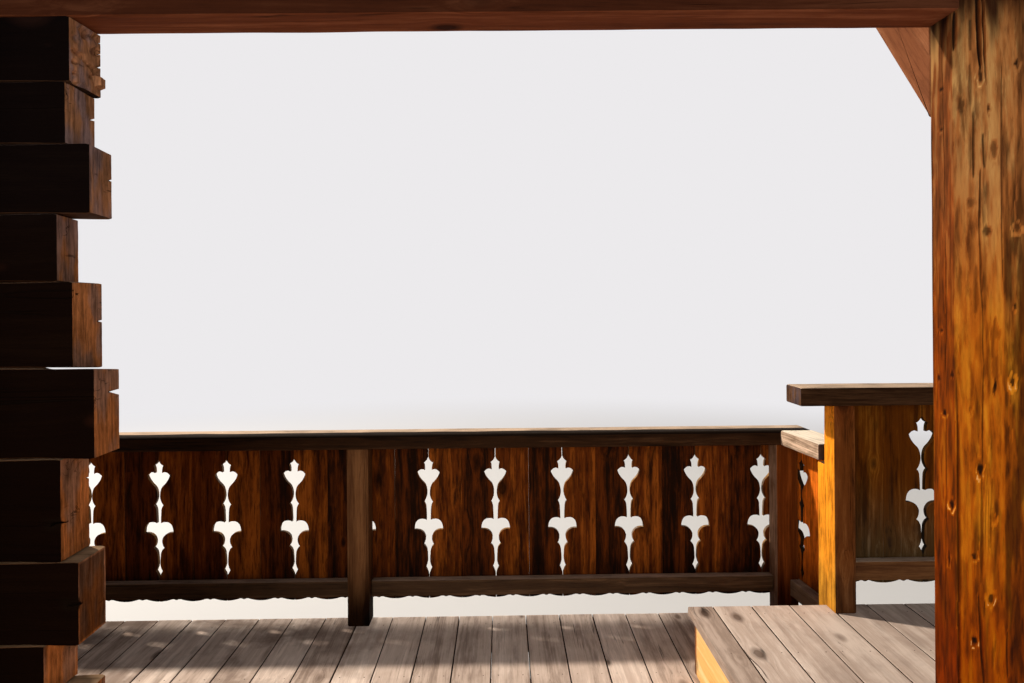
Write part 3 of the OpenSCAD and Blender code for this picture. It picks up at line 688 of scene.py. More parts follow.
# %% [markdown]
# ## Squared timber
# A hewn log is nearly a box, but its faces wave, its arrises wander and its ends are rough. We loft
# it: rings of points, each a rounded rectangle, follow one another along the log. Every point may
# then be pushed inwards by noise, so the timber never grows past the construction's box. The ends
# are closed with a Delaunay net, whose inner points can be pushed in too. Where a drying check
# makes a hollow in the ring, the net's faces across it are dropped, or the light couldn't come in.

# %% Rings of a squared section
def squared_rings(low_p, high_p, low_q, high_q, radius, across, upward, corner=3):
    """Points and outward directions (stations, points, 2), and 1 for points on an arris.

    The limits and the radius are arrays with one value for each station."""
    mid = np.stack([(low_p + high_p) / 2, (low_q + high_q) / 2], -1)
    half = np.stack([(high_p - low_p) / 2, (high_q - low_q) / 2], -1)
    places, outward, arris = [], [], []
    signs = [(1, 1), (-1, 1), (-1, -1), (1, -1)]
    for k, sign in enumerate(signs):
        centre = mid + (half - radius[:, None]) * sign
        for angle in np.radians(90 * k + np.linspace(0, 90, corner)):
            way = np.array([math.cos(angle), math.sin(angle)])
            places.append(centre + radius[:, None] * way)
            outward.append(np.broadcast_to(way, centre.shape))
            arris.append(1.0)
        next_centre = mid + (half - radius[:, None]) * signs[(k + 1) % 4]
        way = np.round([math.cos(math.radians(90 * k + 90)), math.sin(math.radians(90 * k + 90))])
        steps = across if k % 2 == 0 else upward
        for t in np.arange(1, steps) / steps:
            places.append(centre * (1 - t) + next_centre * t + radius[:, None] * way)
            outward.append(np.broadcast_to(way, centre.shape))
            arris.append(0.0)
    return np.stack(places, 1), np.stack(outward, 1), np.array(arris)


def wave(points, scale, seed):
    """Noise between 0 and 1 at each point, after scaling the three axes."""
    scaled = np.asarray(points) * scale + seed
    return np.array([noise.noise(Vector(p)) for p in scaled.reshape(-1, 3)]).reshape(
        scaled.shape[:-1]) * 0.5 + 0.5


# %% The timber builder
AXES = {"x": ((1, 0, 0), (0, 1, 0), (0, 0, 1)), "y": ((0, 1, 0), (-1, 0, 0), (0, 0, 1)),
        "z": ((0, 0, 1), (1, 0, 0), (0, 1, 0))}
# How far from a head its cut is felt along the log, in metres
HEAD_FADE = 0.16
# The share of the roughness of an end that its arrises get
ARRIS_CALM = 0.35
# The hewn faces' waves: the share of each, and how often per metre along the timber and across it
HEW_WAVES = ((0.6, (3.0, 9.0, 9.0)), (0.4, (11.0, 26.0, 26.0)))
dice = random.Random(12)
# Without a seed, the noise vectors that shake an end's net would differ from run to run
noise.seed_set(12)


def smooth(t):
    """0 to 1, easing at both ends."""
    t = np.clip(t, 0, 1)
    return t * t * (3 - 2 * t)


def strip_faces(rings, around):
    """The four-sided faces between rings of points that follow one another."""
    return [[r * around + k, r * around + (k + 1) % around, (r + 1) * around + (k + 1) % around,
             (r + 1) * around + k] for r in range(rings - 1) for k in range(around)]


def put(place, points):
    """The points moved to the place, a matrix, or left where they are."""
    if place is None:
        return points
    return points @ np.array(place.to_3x3()).T + np.array(place.translation)


def within(ring, spots):
    """Which of the spots lie inside a ring of points."""
    x, y = np.asarray(spots)[:, :1], np.asarray(spots)[:, 1:2]
    (ax, ay), (bx, by) = ring.T, np.roll(ring, -1, 0).T
    rise = np.where(by == ay, 1.0, by - ay)
    return (((ay > y) != (by > y)) & (x < ax + (bx - ax) * (y - ay) / rise)).sum(1) % 2 == 1


def close_end(ring, cell, seed):
    """Points and triangles that fill a ring of (p, q) points; the ring's own points come first."""
    low, high = ring.min(0), ring.max(0)
    inner = []
    steps = np.maximum(((high - low) / cell).astype(int), 1)
    for i in range(1, steps[0]):
        for j in range(1, steps[1]):
            spot = low + (high - low) * (i, j) / steps
            shake = noise.noise_vector(Vector((i * 1.7, j * 2.3, seed)))
            inner.append(spot + np.array([shake.x, shake.y]) * cell * 0.25)
    if inner:
        inner = [spot for spot, kept in zip(inner, within(ring, inner)) if kept]
    inner = inner or [ring.mean(0)]
    points = [Vector(p) for p in np.concatenate([ring, np.array(inner)])]
    loop = list(range(len(ring)))
    net = geometry.delaunay_2d_cdt(points, [], [loop], 1, 1e-7, True)
    if len(net[0]) != len(points) or any(len(o) != 1 for o in net[3]):
        raise ValueError("an end's net moved its points")
    order = [o[0] for o in net[3]]
    faces = [[order[k] for k in face] for face in net[2]]
    whole = np.concatenate([ring, inner])
    in_ring = within(ring, [whole[face].mean(0) for face in faces])
    return np.array(inner), [face for face, kept in zip(faces, in_ring) if kept]


# %% One squared timber
def timber(heap, low, high, axis, place=None, hew=0.002, radius=0.006, spacing=0.15, cell=0.03,
           end_rough=(0.0015, 0.0015), skew=0.0, limits=None, extra_stations=(),
           shape=None, head=None, end_cell=None, end_round=0.002, end_dark=0.0):
    """Adds one squared timber that fills the box from low to high, in the place's own axes.

    limits(u) returns the four limits of the section at a distance u along the axis. shape may
    move the finished points: shape(points, section, outward) returns offsets and darkness. head(p, q)
    says how far the end at the far side is cut back, for a slanting or broken one. end_dark
    darkens the two ends."""
    along, side, up = (np.array(v, float) for v in AXES[axis])
    corners = np.array([low, high], float)
    u0, u1 = sorted(corners @ along)
    p0, p1 = sorted(corners @ side)
    q0, q1 = sorted(corners @ up)
    count = max(int((u1 - u0) / spacing), 1)
    between = u0 + (u1 - u0) * np.arange(1, count) / count
    tuck = max(*end_rough, 0.001) + 0.004
    u = np.array(sorted({u0, u0 + tuck, *(v for v in between if u0 + 2 * tuck < v < u1 - 2 * tuck),
                         *extra_stations, u1 - tuck, u1}))
    edges = np.array([limits(v) if limits else (p0, p1, q0, q1) for v in u])
    seed = np.array([dice.uniform(0, 90) for _ in range(3)])
    wobble = wave(np.stack([u, 0 * u, 0 * u], -1), (5.0, 1, 1), seed)
    worn = 1 - 0.75 * smooth(1 - (u1 - u) / HEAD_FADE) if head else 1.0
    round_by = radius * (0.6 + 0.8 * wobble) * worn
    tight = np.zeros(len(u))
    tight[[0, -1]] = end_round
    steps = [max(int(round(w / cell)), 1) for w in (p1 - p0, q1 - q0)]
    flat, outward, arris = squared_rings(edges[:, 0] + tight, edges[:, 1] - tight,
                                         edges[:, 2] + tight, edges[:, 3] - tight,
                                         round_by, steps[0], steps[1])
    spots = np.concatenate([np.broadcast_to(u[:, None, None], flat.shape[:2] + (1,)), flat], -1)
    sink = hew * sum(share * wave(spots, often, seed) for share, often in HEW_WAVES)
    flat = flat - outward * (sink * (worn[:, None] if head else 1.0))[..., None]
    moved, darkness = shape(spots, flat, outward) if shape else (0, np.zeros(flat.shape[:2]))
    flat = flat + moved
    spots = np.concatenate([spots[..., :1], flat], -1)
    if head:
        fade = smooth(1 - (u[-1] - u) / HEAD_FADE)
        fade[-1] = 0
        spots[..., 0] -= head(flat[..., 0], flat[..., 1]) * fade[:, None]
    heads, head_faces = [], []
    for which, sign in ((0, 1), (-1, -1)):
        ring = flat[which]
        inner, faces = close_end(ring, end_cell or cell, float(seed[0]))
        whole = np.concatenate([ring, inner])
        at = np.concatenate([np.full((len(whole), 1), u[which]), whole], 1)
        rough = wave(at, (0, 28.0, 28.0), seed) * 0.5 + wave(at, (0, 75.0, 75.0), seed + 5) * 0.5
        calm = np.where(np.arange(len(whole)) < len(ring), ARRIS_CALM, 1.0)
        at[:, 0] += sign * end_rough[which] * (rough - 0.3).clip(0) * calm
        if head and which == -1:
            at[:, 0] -= head(whole[:, 0], whole[:, 1])
        spots[which, :, 0] = at[:len(ring), 0]
        heads.append(at[len(ring):])
        head_faces.append(faces)
    stations, around = spots.shape[:2]
    body = spots.reshape(-1, 3)
    faces = strip_faces(stations, around)
    cuts = [0.0] * len(faces)
    offset = len(body)
    for which, inner, net in ((0, heads[0], head_faces[0]), (1, heads[1], head_faces[1])):
        base = 0 if which == 0 else (stations - 1) * around
        for face in net:
            tri = [base + k if k < around else offset + k - around for k in face]
            faces.append(tri[::-1] if which == 0 else tri)
            cuts.append(1.0)
        offset += len(inner)
    local = np.concatenate([body, *heads])
    local[:, 0] += skew * (local[:, 1] - p0)
    world_points = put(place, local @ np.stack([along, side, up]))
    edge = np.concatenate([np.tile(arris, stations), np.zeros(len(heads[0]) + len(heads[1]))])
    dark = np.concatenate([darkness.ravel(), np.full(len(heads[0]) + len(heads[1]), end_dark)])
    shift = np.array([dice.uniform(0, 40) for _ in range(3)])
    heap.add(world_points, faces, local + shift, dice.random(), edge, dark, cuts)


print("timber builder ready")

# %% [markdown]
# ## Reading the construction
# Several nodes hold a row of equal timbers, such as the joists. Their places are already in the
# frame, so we split such a node's mesh into its loose shells and take the box of each. That way the
# looks follow the construction when a measure there changes.

# %% Boxes of the solids in a node
def shells(node_name):
    """The (low, high) boxes of a node's separate solids, sorted from left to right."""
    mesh = nodes[node_name].data
    points = np.zeros(len(mesh.vertices) * 3)
    mesh.vertices.foreach_get("co", points)
    points = points.reshape(-1, 3)
    rounded, same = np.unique(np.round(points, 5), axis=0, return_inverse=True)
    same = same.ravel()
    group = np.arange(len(rounded))
    edges = np.array([[same[p.vertices[0]], same[v]] for p in mesh.polygons for v in p.vertices[1:]])
    while True:
        lowest = np.minimum(group[edges[:, 0]], group[edges[:, 1]])
        before = group.copy()
        np.minimum.at(group, edges[:, 0], lowest)
        np.minimum.at(group, edges[:, 1], lowest)
        if (group == before).all():
            break
    boxes = [(rounded[group == g].min(0), rounded[group == g].max(0)) for g in np.unique(group)]
    return sorted(boxes, key=lambda b: tuple(b[0]))


def bars(name, finish, slot, axis_of, *replaced, **how):
    """One piece of squared timbers, one for each solid of the nodes that it replaces."""
    heap = Heap()
    for node_name in replaced:
        for low, high in shells(node_name):
            timber(heap, low, high, axis_of or "xyz"[int(np.argmax(high - low))], **how)
    heap.piece(name, finish, slot, *replaced)


print("joists:", len(shells("deck_joists")), "bearers:", len(shells("deck_bearers")))

# %% Joists, bearers and legs
bars("floor_joists", FRAME, "frame_wood", None, "deck_joists", spacing=0.4, cell=0.05)
bars("floor_bearers", FRAME, "frame_wood", None, "deck_bearers", spacing=0.4, cell=0.05)
bars("platform_legs_hewn", FRAME, "frame_wood", "z", "platform_legs", spacing=0.2, cell=0.03)
nodes["platform_joists"].data.materials.clear()
nodes["platform_joists"].data.materials.append(FRAME_X)

# %% [markdown]
# ## The log wall
# Each course is one squared log. Its inner face is painted near black as shade, and its head, at the
# opening, shows sawn and split end grain. Where the side wall crosses, the log is notched to half its
# height, so the loft's section changes there in one step. Some heads have a drying check that runs in
# from the outer arris and lets a sliver of light through: three points of the ring make that wedge.

# %% Front wall
COURSES = 13
CROSS_X = tuple(float(corner.x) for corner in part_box("cross_logs_upper"))
WALL_Y = tuple(corner.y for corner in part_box("log_course_01"))
# Course, face (1 outer, -1 inner), height, opening and depth of the checks at the heads
HEAD_CHECKS = [
    (13, 1, 2.832, 0.002, 0.006), (13, 1, 2.801, 0.002, 0.005), (13, 1, 2.765, 0.006, 0.014),
    (12, 1, 2.620, 0.007, 0.020), (11, 1, 2.452, 0.006, 0.016), (9, 1, 2.063, 0.007, 0.018),
    (8, 1, 1.867, 0.016, 0.052), (7, -1, 1.545, 0.005, 0.030), (7, 1, 1.630, 0.005, 0.012),
    (6, -1, 1.334, 0.010, 0.014)]
# How far the checks run along the log, for the outer and for the inner ones
CHECK_RUN = {1: 0.3, -1: 0.05}
# Course: how far the head is cut back at its inner and at its outer arris
HEAD_CUT = {13: (0.010, 0.002), 12: (0.003, 0.001), 11: (0.001, 0.016), 10: (0.002, 0.025),
            9: (0.005, 0.002), 8: (0.001, 0.007), 7: (0.002, 0.004), 6: (0.002, 0.005),
            5: (0.012, 0.002), 4: (0.001, 0.005)}
# Course: how far its upper face is lowered at the inner and at the outer arris, and to what distance
# from the head at the same two. The face comes down over DROP_RUN, and what lies under it is
# squeezed to a depth of DROP_DEEP times the drop
HEAD_DROP = {8: (0.0030, 0.0150, 0.150, 0.235), 12: (0.0, 0.0070, 0.24, 0.24)}
DROP_RUN, DROP_DEEP = 0.04, 1.6
# Course: how far its underside hangs down at the outer arris
HEAD_SAG = {9: 0.011, 13: 0.007}
SAG_REACH = 0.24
HEAD_ROUGH = 0.005
# Course: how much darker its head is
HEAD_DARK = {6: 0.62}
# The topmost head is torn: chips as (noise level where they begin, depth), and a splinter as
# (from, to, length)
BROKEN_COURSE = 13
CHIPS = ((0.54, 0.009), (0.66, 0.005))
SPLINTER = (2.706, 2.734, 0.011)
LOG_CELL, BROKEN_CELL = 0.012, 0.006


def shoulders(places):
    """Two stations at each place, a millimetre apart, for a step in the section."""
    return [place + step for place in places for step in (-0.0005, 0.0005)]


def log_head(course, box_low, box_high):
    """The cut of a head: slanting, and on the top course broken off, with a splinter left."""
    inner, outer = HEAD_CUT.get(course, (0.001, 0.003))

    def head(p, q):
        out = (p - box_low.y) / (box_high.y - box_low.y)
        back = inner + (outer - inner) * out
        if course == BROKEN_COURSE:
            torn = wave(np.stack([p * 0, p, q], -1), (1, 22.0, 46.0), 4.0)
            chips = sum(depth * smooth((torn - level) / 0.1) for level, depth in CHIPS)
            back = back + chips * smooth(out / 0.25) * smooth((1 - out) / 0.15)
            low, high, length = SPLINTER
            back = np.where((q > low) & (q < high) & (out > 0.8), -length, back)
        return back

    return head


def log_shape(course, box_low, box_high):
    """How the head of one log differs from a plain squared log."""

    def shape(spots, flat, outward):
        moved = np.zeros(flat.shape)
        dark = np.zeros(flat.shape[:2])
        for place, side, level, opening, depth in HEAD_CHECKS:
            if place != course:
                continue
            near_head = smooth(1 - (box_high.x - spots[:, 0, 0]) / CHECK_RUN[side])
            face = np.where(outward[-1, :, 0] * side > 0.99)[0]
            middle = face[np.argmin(abs(flat[-1, face, 1] - level))]
            # The check's floor follows the line of sight, so that light comes through it
            sight = (level - EYE[2]) / (box_high.y - EYE[1]) * depth
            for offset, lift, sink in ((-1, -0.5, 0), (0, 0, 1), (1, 0.5, 0)):
                k = middle + offset
                target = level + side * lift * opening - sink * side * sight
                moved[:, k, 1] = (target - flat[:, k, 1]) * near_head
                moved[:, k, 0] = -side * sink * depth * near_head
            if side > 0:
                dark[:, middle] = near_head
            else:
                dark[:, middle - 1:middle + 2] = (near_head > 0)[:, None]
        share = (flat[..., 0] - box_low.y) / (box_high.y - box_low.y)
        if course in HEAD_SAG:
            here = smooth(1 - (box_high.x - spots[..., 0]) / SAG_REACH)
            moved[..., 1] -= HEAD_SAG[course] * share * here * (outward[0, :, 1] < -0.5)
        if course in HEAD_DROP:
            inner, outer, inner_reach, outer_reach = HEAD_DROP[course]
            reach = inner_reach + (outer_reach - inner_reach) * share
            here = smooth((box_high.x - spots[..., 0] - reach) / -DROP_RUN)
            drop = (inner + (outer - inner) * share) * here + 1e-9
            # The uppermost part of the section is squeezed, so that its points keep their order
            moved[..., 1] -= drop * np.clip(1 - (box_high.z - flat[..., 1]) / (drop * DROP_DEEP), 0, 1)
        return moved, dark

    return shape


for course in range(1, COURSES + 1):
    node_name = f"log_course_{course:02d}"
    low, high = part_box(node_name)
    notch = (high.z - low.z) / 4

    def log_limits(u, low=low, high=high, notch=notch):
        quarter = notch if CROSS_X[0] < u < CROSS_X[1] else 0.0
        return low.y, high.y, low.z + quarter, high.z - quarter

    heap = Heap()
    timber(heap, low, high, "x", hew=0.004, radius=0.008, spacing=0.03,
           cell=BROKEN_CELL if course == BROKEN_COURSE else LOG_CELL, end_rough=(0.002, HEAD_ROUGH),
           limits=log_limits, extra_stations=shoulders(CROSS_X), shape=log_shape(course, low, high),
           head=log_head(course, low, high), end_cell=0.007, end_dark=HEAD_DARK.get(course, 0.0))
    heap.piece(f"log_{course:02d}", LOG, "log_wood", node_name)

# %% Side wall, whose logs cross the front wall
beam_low, beam_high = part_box("head_beam")
heights = [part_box(f"log_course_{k:02d}")[0].z for k in range(1, COURSES + 1)] + [beam_low.z]
for level in ("lower", "upper"):
    heap = Heap()
    for low, high in sorted(shells("cross_logs_" + level), key=lambda b: b[0][2]):
        middle = (low[2] + high[2]) / 2
        joint = min(heights, key=lambda z: abs(z - middle))
        below = (low[2] + joint) / 2 if low[2] > heights[0] + 0.001 else low[2]
        above = (high[2] + joint) / 2 if high[2] < beam_high.z - 0.001 else high[2]

        def cross_limits(u, low=low, high=high, below=below, above=above):
            inside = WALL_Y[0] < u < WALL_Y[1]
            return -high[0], -low[0], below if inside else low[2], above if inside else high[2]

        timber(heap, low, high, "y", hew=0.004, radius=0.008, spacing=0.04, cell=0.014,
               end_rough=(0.002, 0.005), limits=cross_limits, end_cell=0.009,
               extra_stations=shoulders(WALL_Y))
    heap.piece("side_logs_" + level, LOG, "log_wood", "cross_logs_" + level)

# %% [markdown]
# ## The head beam and the post
# The beam spans the opening and goes through the post with a tenon, which two pegs hold. The post is
# the nearest timber to the camera, so it gets a dense mesh: a hewn flat on the arris towards the
# opening, long shallow flutes, and checks and knots at the places where the photograph shows them,
# given as real distances. Noise alone would make good wood, but not this post.

# %% Head beam with its tenon
post_low, post_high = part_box("corner_post")
TENON_T, TENON_H = 0.045, 0.120
BEAM_RISE = 0.014
beam_notch = (beam_high.z - beam_low.z) / 4


def beam_limits(u):
    """The beam's underside is hewn, and rises a little from the log wall to the post."""
    if CROSS_X[0] < u < CROSS_X[1]:
        return beam_low.y, beam_high.y, beam_low.z + beam_notch, beam_high.z - beam_notch
    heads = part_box("log_course_13")[1].x
    rise = BEAM_RISE * max(0.0, (u - heads) / (post_low.x - heads))
    return beam_low.y, beam_high.y, beam_low.z + rise, beam_high.z


heap = Heap()
timber(heap, beam_low, (post_low.x, beam_high.y, beam_high.z), "x", hew=0.002, radius=0.007,
       spacing=0.03, cell=0.011, limits=beam_limits, extra_stations=shoulders(CROSS_X))
tenon_y, tenon_z = (beam_low.y + beam_high.y) / 2, (beam_low.z + beam_high.z) / 2
timber(heap, (post_low.x - 0.01, tenon_y - TENON_T / 2, tenon_z - TENON_H / 2),
       (beam_high.x, tenon_y + TENON_T / 2, tenon_z + TENON_H / 2), "x", spacing=0.1, cell=0.015)
heap.piece("opening_beam", BEAM, "beam_wood", "head_beam")

# %% The hewn post
def in_metres(count, rows):
    """A table whose first numbers, as many as count, are given in millimetres."""
    return [tuple(value / 1000 for value in row[:count]) + row[count:] for row in rows]


# The flat on the arris towards the opening: its width on the inner face and on the side
FLAT_ACROSS, FLAT_DEEP = 0.057, 0.032
# Distances on the flat and the inner face run from the post's left side, and those on the side from
# its inner face, all in millimetres. Lines: distance and height at the top and at the bottom,
# half width, depth; and the darkness
FACE_LINES = in_metres(6, [
    (50, 2930, 56, 2705, 3, 10, 1), (60, 2960, 70.5, 2670, 1.9, 8, 0.95),
    (53, 2450, 50, 2285, 1.4, 2, 0.8), (50, 2300, 58.5, 1920, 1.2, 2, 0.7),
    (58.5, 1940, 52, 1640, 1.2, 2, 0.7), (52, 1640, 48, 1340, 2, 2, 0.6),
    (44, 1330, 54, 1050, 2, 3, 0.8), (50, 1050, 50, 350, 1.2, 2, 0.6),
    (111.5, 2740, 109.5, 2140, 1.8, 2, 0.75), (3, 1930, 1, 600, 2, 4, 0.75),
    (3, 2880, 1, 2765, 3.4, 6, 1), (41, 2610, 39.5, 2420, 1.8, 2, 0.8),
    (60, 2545, 63.5, 2445, 3, 2, 0.85), (37, 2850, 37, 2760, 4, 1, 0.6),
    (35, 2730, 36, 2610, 3.4, 1, 0.6), (79, 1640, 70, 1440, 3, 1, 0.5),
    (30, 2340, 33, 2200, 1.8, 1, 0.5), (44, 2200, 40, 2060, 4, 1, 0.45),
    (88, 2060, 82, 1940, 4, 1, 0.5), (125, 1860, 130, 1720, 3, 1, 0.5),
    (116, 1230, 115, 1100, 3, 3, 0.8), (150, 2500, 145, 2280, 1.8, 1, 0.5),
    (215, 1600, 210, 700, 1.8, 4, 0.6), (185, 2700, 180, 1900, 1.4, 2, 0.5)])
SIDE_LINES = in_metres(6, [
    (78, 2860, 68, 2280, 1.2, 2, 0.75), (68, 2300, 69, 1820, 1.2, 2, 0.75),
    (69, 1840, 80, 1200, 1.2, 2, 0.7), (80, 1220, 76, 400, 1.1, 2, 0.5),
    (105, 2500, 108, 1600, 1, 1, 0.45), (45, 2500, 48, 1960, 2.6, 1, 0.4),
    (124, 2600, 125, 1700, 5.5, 0, 0.65), (130, 1800, 133, 700, 4, 0, 0.5)])
# Knots: distance, height, half width, half height, darkness, paleness of the rim
FACE_KNOTS = in_metres(4, [
    (153, 2725, 5, 12, 0.9, 0.3), (56, 2694, 4.8, 15, 0.8, 0.9), (14.5, 2620, 7, 26, 0.65, 0),
    (76, 2606, 5, 9, 0.7, 0.2), (90.5, 2500, 8, 22, 0.55, 0.3), (34, 2360, 8, 12, 0.5, 0),
    (150, 2294, 9, 13, 0.65, 0.3), (68, 2284, 11, 13, 0.7, 0), (143, 2085, 4.5, 8, 0.85, 0.2),
    (89, 1878, 3.2, 17, 0.95, 0), (89, 1925, 7.5, 42, 0.42, 0), (85.5, 1858, 3.5, 10, 0.7, 0),
    (134, 1884, 6, 12, 0.8, 0.9), (31, 1812, 4, 10, 0.5, 0.5), (49, 1654, 4.2, 16, 0.92, 1),
    (37, 1419, 4.5, 8, 0.8, 0.7), (73, 1313, 7, 12, 0.75, 1), (35, 1198, 5, 11, 0.9, 1.1),
    (79, 1526, 7, 10, 0.45, 0.5), (90, 2014, 11, 18, 0.4, 0), (120, 900, 7, 14, 0.7, 0.4),
    (200, 2050, 7, 14, 0.7, 0.3), (60, 620, 6, 12, 0.7, 0.4), (190, 1450, 6, 12, 0.7, 0.3)])
SIDE_KNOTS = in_metres(4, [
    (80, 2680, 7, 6, 0.9, 0.2), (81, 2573, 7, 6, 0.8, 0.3), (88, 2020, 7, 6, 0.8, 0.2),
    (44, 1900, 7, 9, 0.85, 0), (100, 1886, 7, 8, 0.7, 0), (76, 1792, 8, 7, 0.9, 0.5),
    (50, 1548, 8, 11, 0.9, 0.9), (63, 1403, 5, 16, 0.75, 0.4), (70, 900, 6, 10, 0.7, 0)])
# Long bands: middle, half width, from, to, and how much darker, or paler when negative
BANDS = in_metres(4, [
    (18, 14, 800, 2600, -0.12), (38, 8, 900, 1860, 0.26), (88, 20, 1980, 2840, -0.22),
    (88, 16, 900, 1760, 0.16), (190, 78, 300, 2350, 0.68), (190, 78, 2350, 2950, 0.16)])
# On the side, the first band, paler near the top, is a painted patch of sunlight just below the beam
SIDE_BANDS_AND_PAINTED_LIGHT = in_metres(4, [
    (106, 18, 2680, 2900, -0.6), (65, 65, 300, 1500, 0.32), (65, 65, 1500, 2620, 0.12)])
# Flutes: how often per metre along and across, how deep, and a shift that makes the two differ
FLUTES = (((0.9, 34.0, 34.0), 0.002, 0), ((2.6, 9.0, 9.0), 0.003, 9))
LINE_SWAY, KNOT_PIT = 0.006, 0.0015
BROAD, FINE = (6.5, 48.0, 48.0), (19.0, 120.0, 120.0)


def carve(height, across, lines, knots, seed):
    """Depth pushed in and tone, from -1, a pale rim, to 1, a black pit."""
    depth = np.zeros(height.shape)
    tone = np.zeros(height.shape)
    spot = np.stack([height, across, 0 * height], -1)
    sway = (wave(spot, (9.0, 0, 1), seed) - 0.5) * LINE_SWAY
    ragged = 0.7 + 0.6 * wave(spot, (55.0, 120.0, 1), seed + 7)
    for top_place, top, bottom_place, bottom, half_width, sink, dark in lines:
        t = (top - height) / (top - bottom)
        place = top_place + (bottom_place - top_place) * t + sway
        spindle = np.clip(1 - abs(2 * t - 1) ** 3, 0, 1) * (abs(2 * t - 1) < 1)
        width = half_width * (0.35 + 0.65 * spindle) * ragged + 0.0012
        groove = np.clip(1.3 - abs(across - place) / width, 0, 1) * np.clip(spindle * 4, 0, 1)
        depth = np.maximum(depth, groove * sink * spindle)
        tone = np.maximum(tone, groove * dark)
    warped = across + (wave(spot, (60.0, 150.0, 1), seed + 13) - 0.5) * 0.008
    for place, up, wide, tall, dark, pale in knots:
        away = np.sqrt(((warped - place) / wide) ** 2 + ((height - up) / tall) ** 2) * ragged
        core = smooth((1.5 - away) / 0.8)
        below = np.clip(0.75 - (height - up) / (1.6 * tall), 0.25, 1)
        rim = np.clip(1.2 - abs(away - 1.85) / 0.45, 0, 1) * below * pale
        around = np.where(tone > 0.4, tone, tone - rim)
        tone = np.where(core > 0.05, np.maximum(tone, core * dark), around)
        depth = np.maximum(depth, core * KNOT_PIT)
    return depth, np.clip(tone, -1, 1)


def eased(share):
    """The tone at which the finish mixes this share of black, or of its pale streak."""
    return np.sign(share) * (0.5 - np.sin(np.arcsin(1 - 2 * np.clip(abs(share), 0, 1)) / 3))


def post_shape(spots, flat, outward):
    """The flat arris, the flutes, the checks, the knots and the broad streaks of the post."""
    from_left = flat[..., 0] - post_low.x
    from_near = flat[..., 1] - post_low.y
    height = spots[..., 0]
    wander = 1 + (wave(np.stack([height, 0 * height, 0 * height], -1), (2.3, 1, 1), 11.0) - 0.5) * 0.3
    beyond = np.maximum(wander - from_left / FLAT_ACROSS - from_near / FLAT_DEEP, 0) / 2
    moved = np.stack([beyond * FLAT_ACROSS, beyond * FLAT_DEEP], -1)
    seeds = np.array([3.0, 8.0, 5.0])
    body = np.stack([height, flat[..., 0] + moved[..., 0], flat[..., 1] + moved[..., 1]], -1)
    on_flat = beyond > 0.004
    near_face = (outward[..., 1] < -0.5) | on_flat
    left_face = (outward[..., 0] < -0.5) & ~on_flat
    flutes = sum(wave(body, often, seeds + shift) * deep for often, deep, shift in FLUTES)
    moved -= outward * (flutes * ~left_face)[..., None]
    face_depth, face_tone = carve(height, body[..., 1] - post_low.x, FACE_LINES, FACE_KNOTS, 21.0)
    side_depth, side_tone = carve(height, body[..., 2] - post_low.y, SIDE_LINES, SIDE_KNOTS, 37.0)
    moved[..., 1] += face_depth * near_face
    moved[..., 0] += side_depth * left_face
    broad, fine = wave(body, BROAD, seeds + 20), wave(body, FINE, seeds + 30)
    shade = np.clip((broad - 0.50) * 1.7, -0.20, 0.40) + np.clip((fine - 0.52) * 1.5, -0.08, 0.30)
    for bands, across, here in ((BANDS, body[..., 1] - post_low.x, near_face),
                                (SIDE_BANDS_AND_PAINTED_LIGHT, body[..., 2] - post_low.y, left_face)):
        for middle, half, low, high, darker in bands:
            inside = smooth((half - abs(across - middle)) / 0.008 + 0.5)
            inside *= smooth((height - low) / 0.25 + 0.5) * smooth((high - height) / 0.12 + 0.5)
            shade += inside * darker * here
    tone = face_tone * near_face + side_tone * left_face
    return moved, np.where(abs(tone) > 0.15, tone, eased(np.clip(shade, -0.6, 0.8)))


heap = Heap()
timber(heap, post_low, post_high, "z", hew=0.001, radius=0.006, spacing=0.0085, cell=0.0031,
       end_rough=(0.002, 0.002), shape=post_shape, end_cell=0.02, end_round=0.002)
heap.piece("hewn_post", POST, "post_wood", "corner_post")

# %% [markdown]
# ## Flat work
# The railing boards, the floor boards and the bracket are flat pieces with a sawn outline. One
# function makes them all: it repeats the outline four times, a little smaller at the two faces, so
# the edges are softly broken. The sides are marked as cut, so each finish gives them its end colour:
# dark joints on the floor boards, and painted sunlight, pale, on the lower railing boards' sawn edges.

# %% A board from its outline
def inset(outline, amount):
    """The outline moved inwards by amount at each corner."""
    outline = np.asarray(outline, float)
    before = outline - np.roll(outline, 1, 0)
    after = np.roll(outline, -1, 0) - outline
    before /= np.maximum(np.linalg.norm(before, axis=1, keepdims=True), 1e-9)
    after /= np.maximum(np.linalg.norm(after, axis=1, keepdims=True), 1e-9)
    normal_before = np.stack([-before[:, 1], before[:, 0]], -1)
    normal_after = np.stack([-after[:, 1], after[:, 0]], -1)
    mean = normal_before + normal_after
    length = np.maximum((mean ** 2).sum(1, keepdims=True), 0.9)
    return outline + mean * (2 * amount / length)


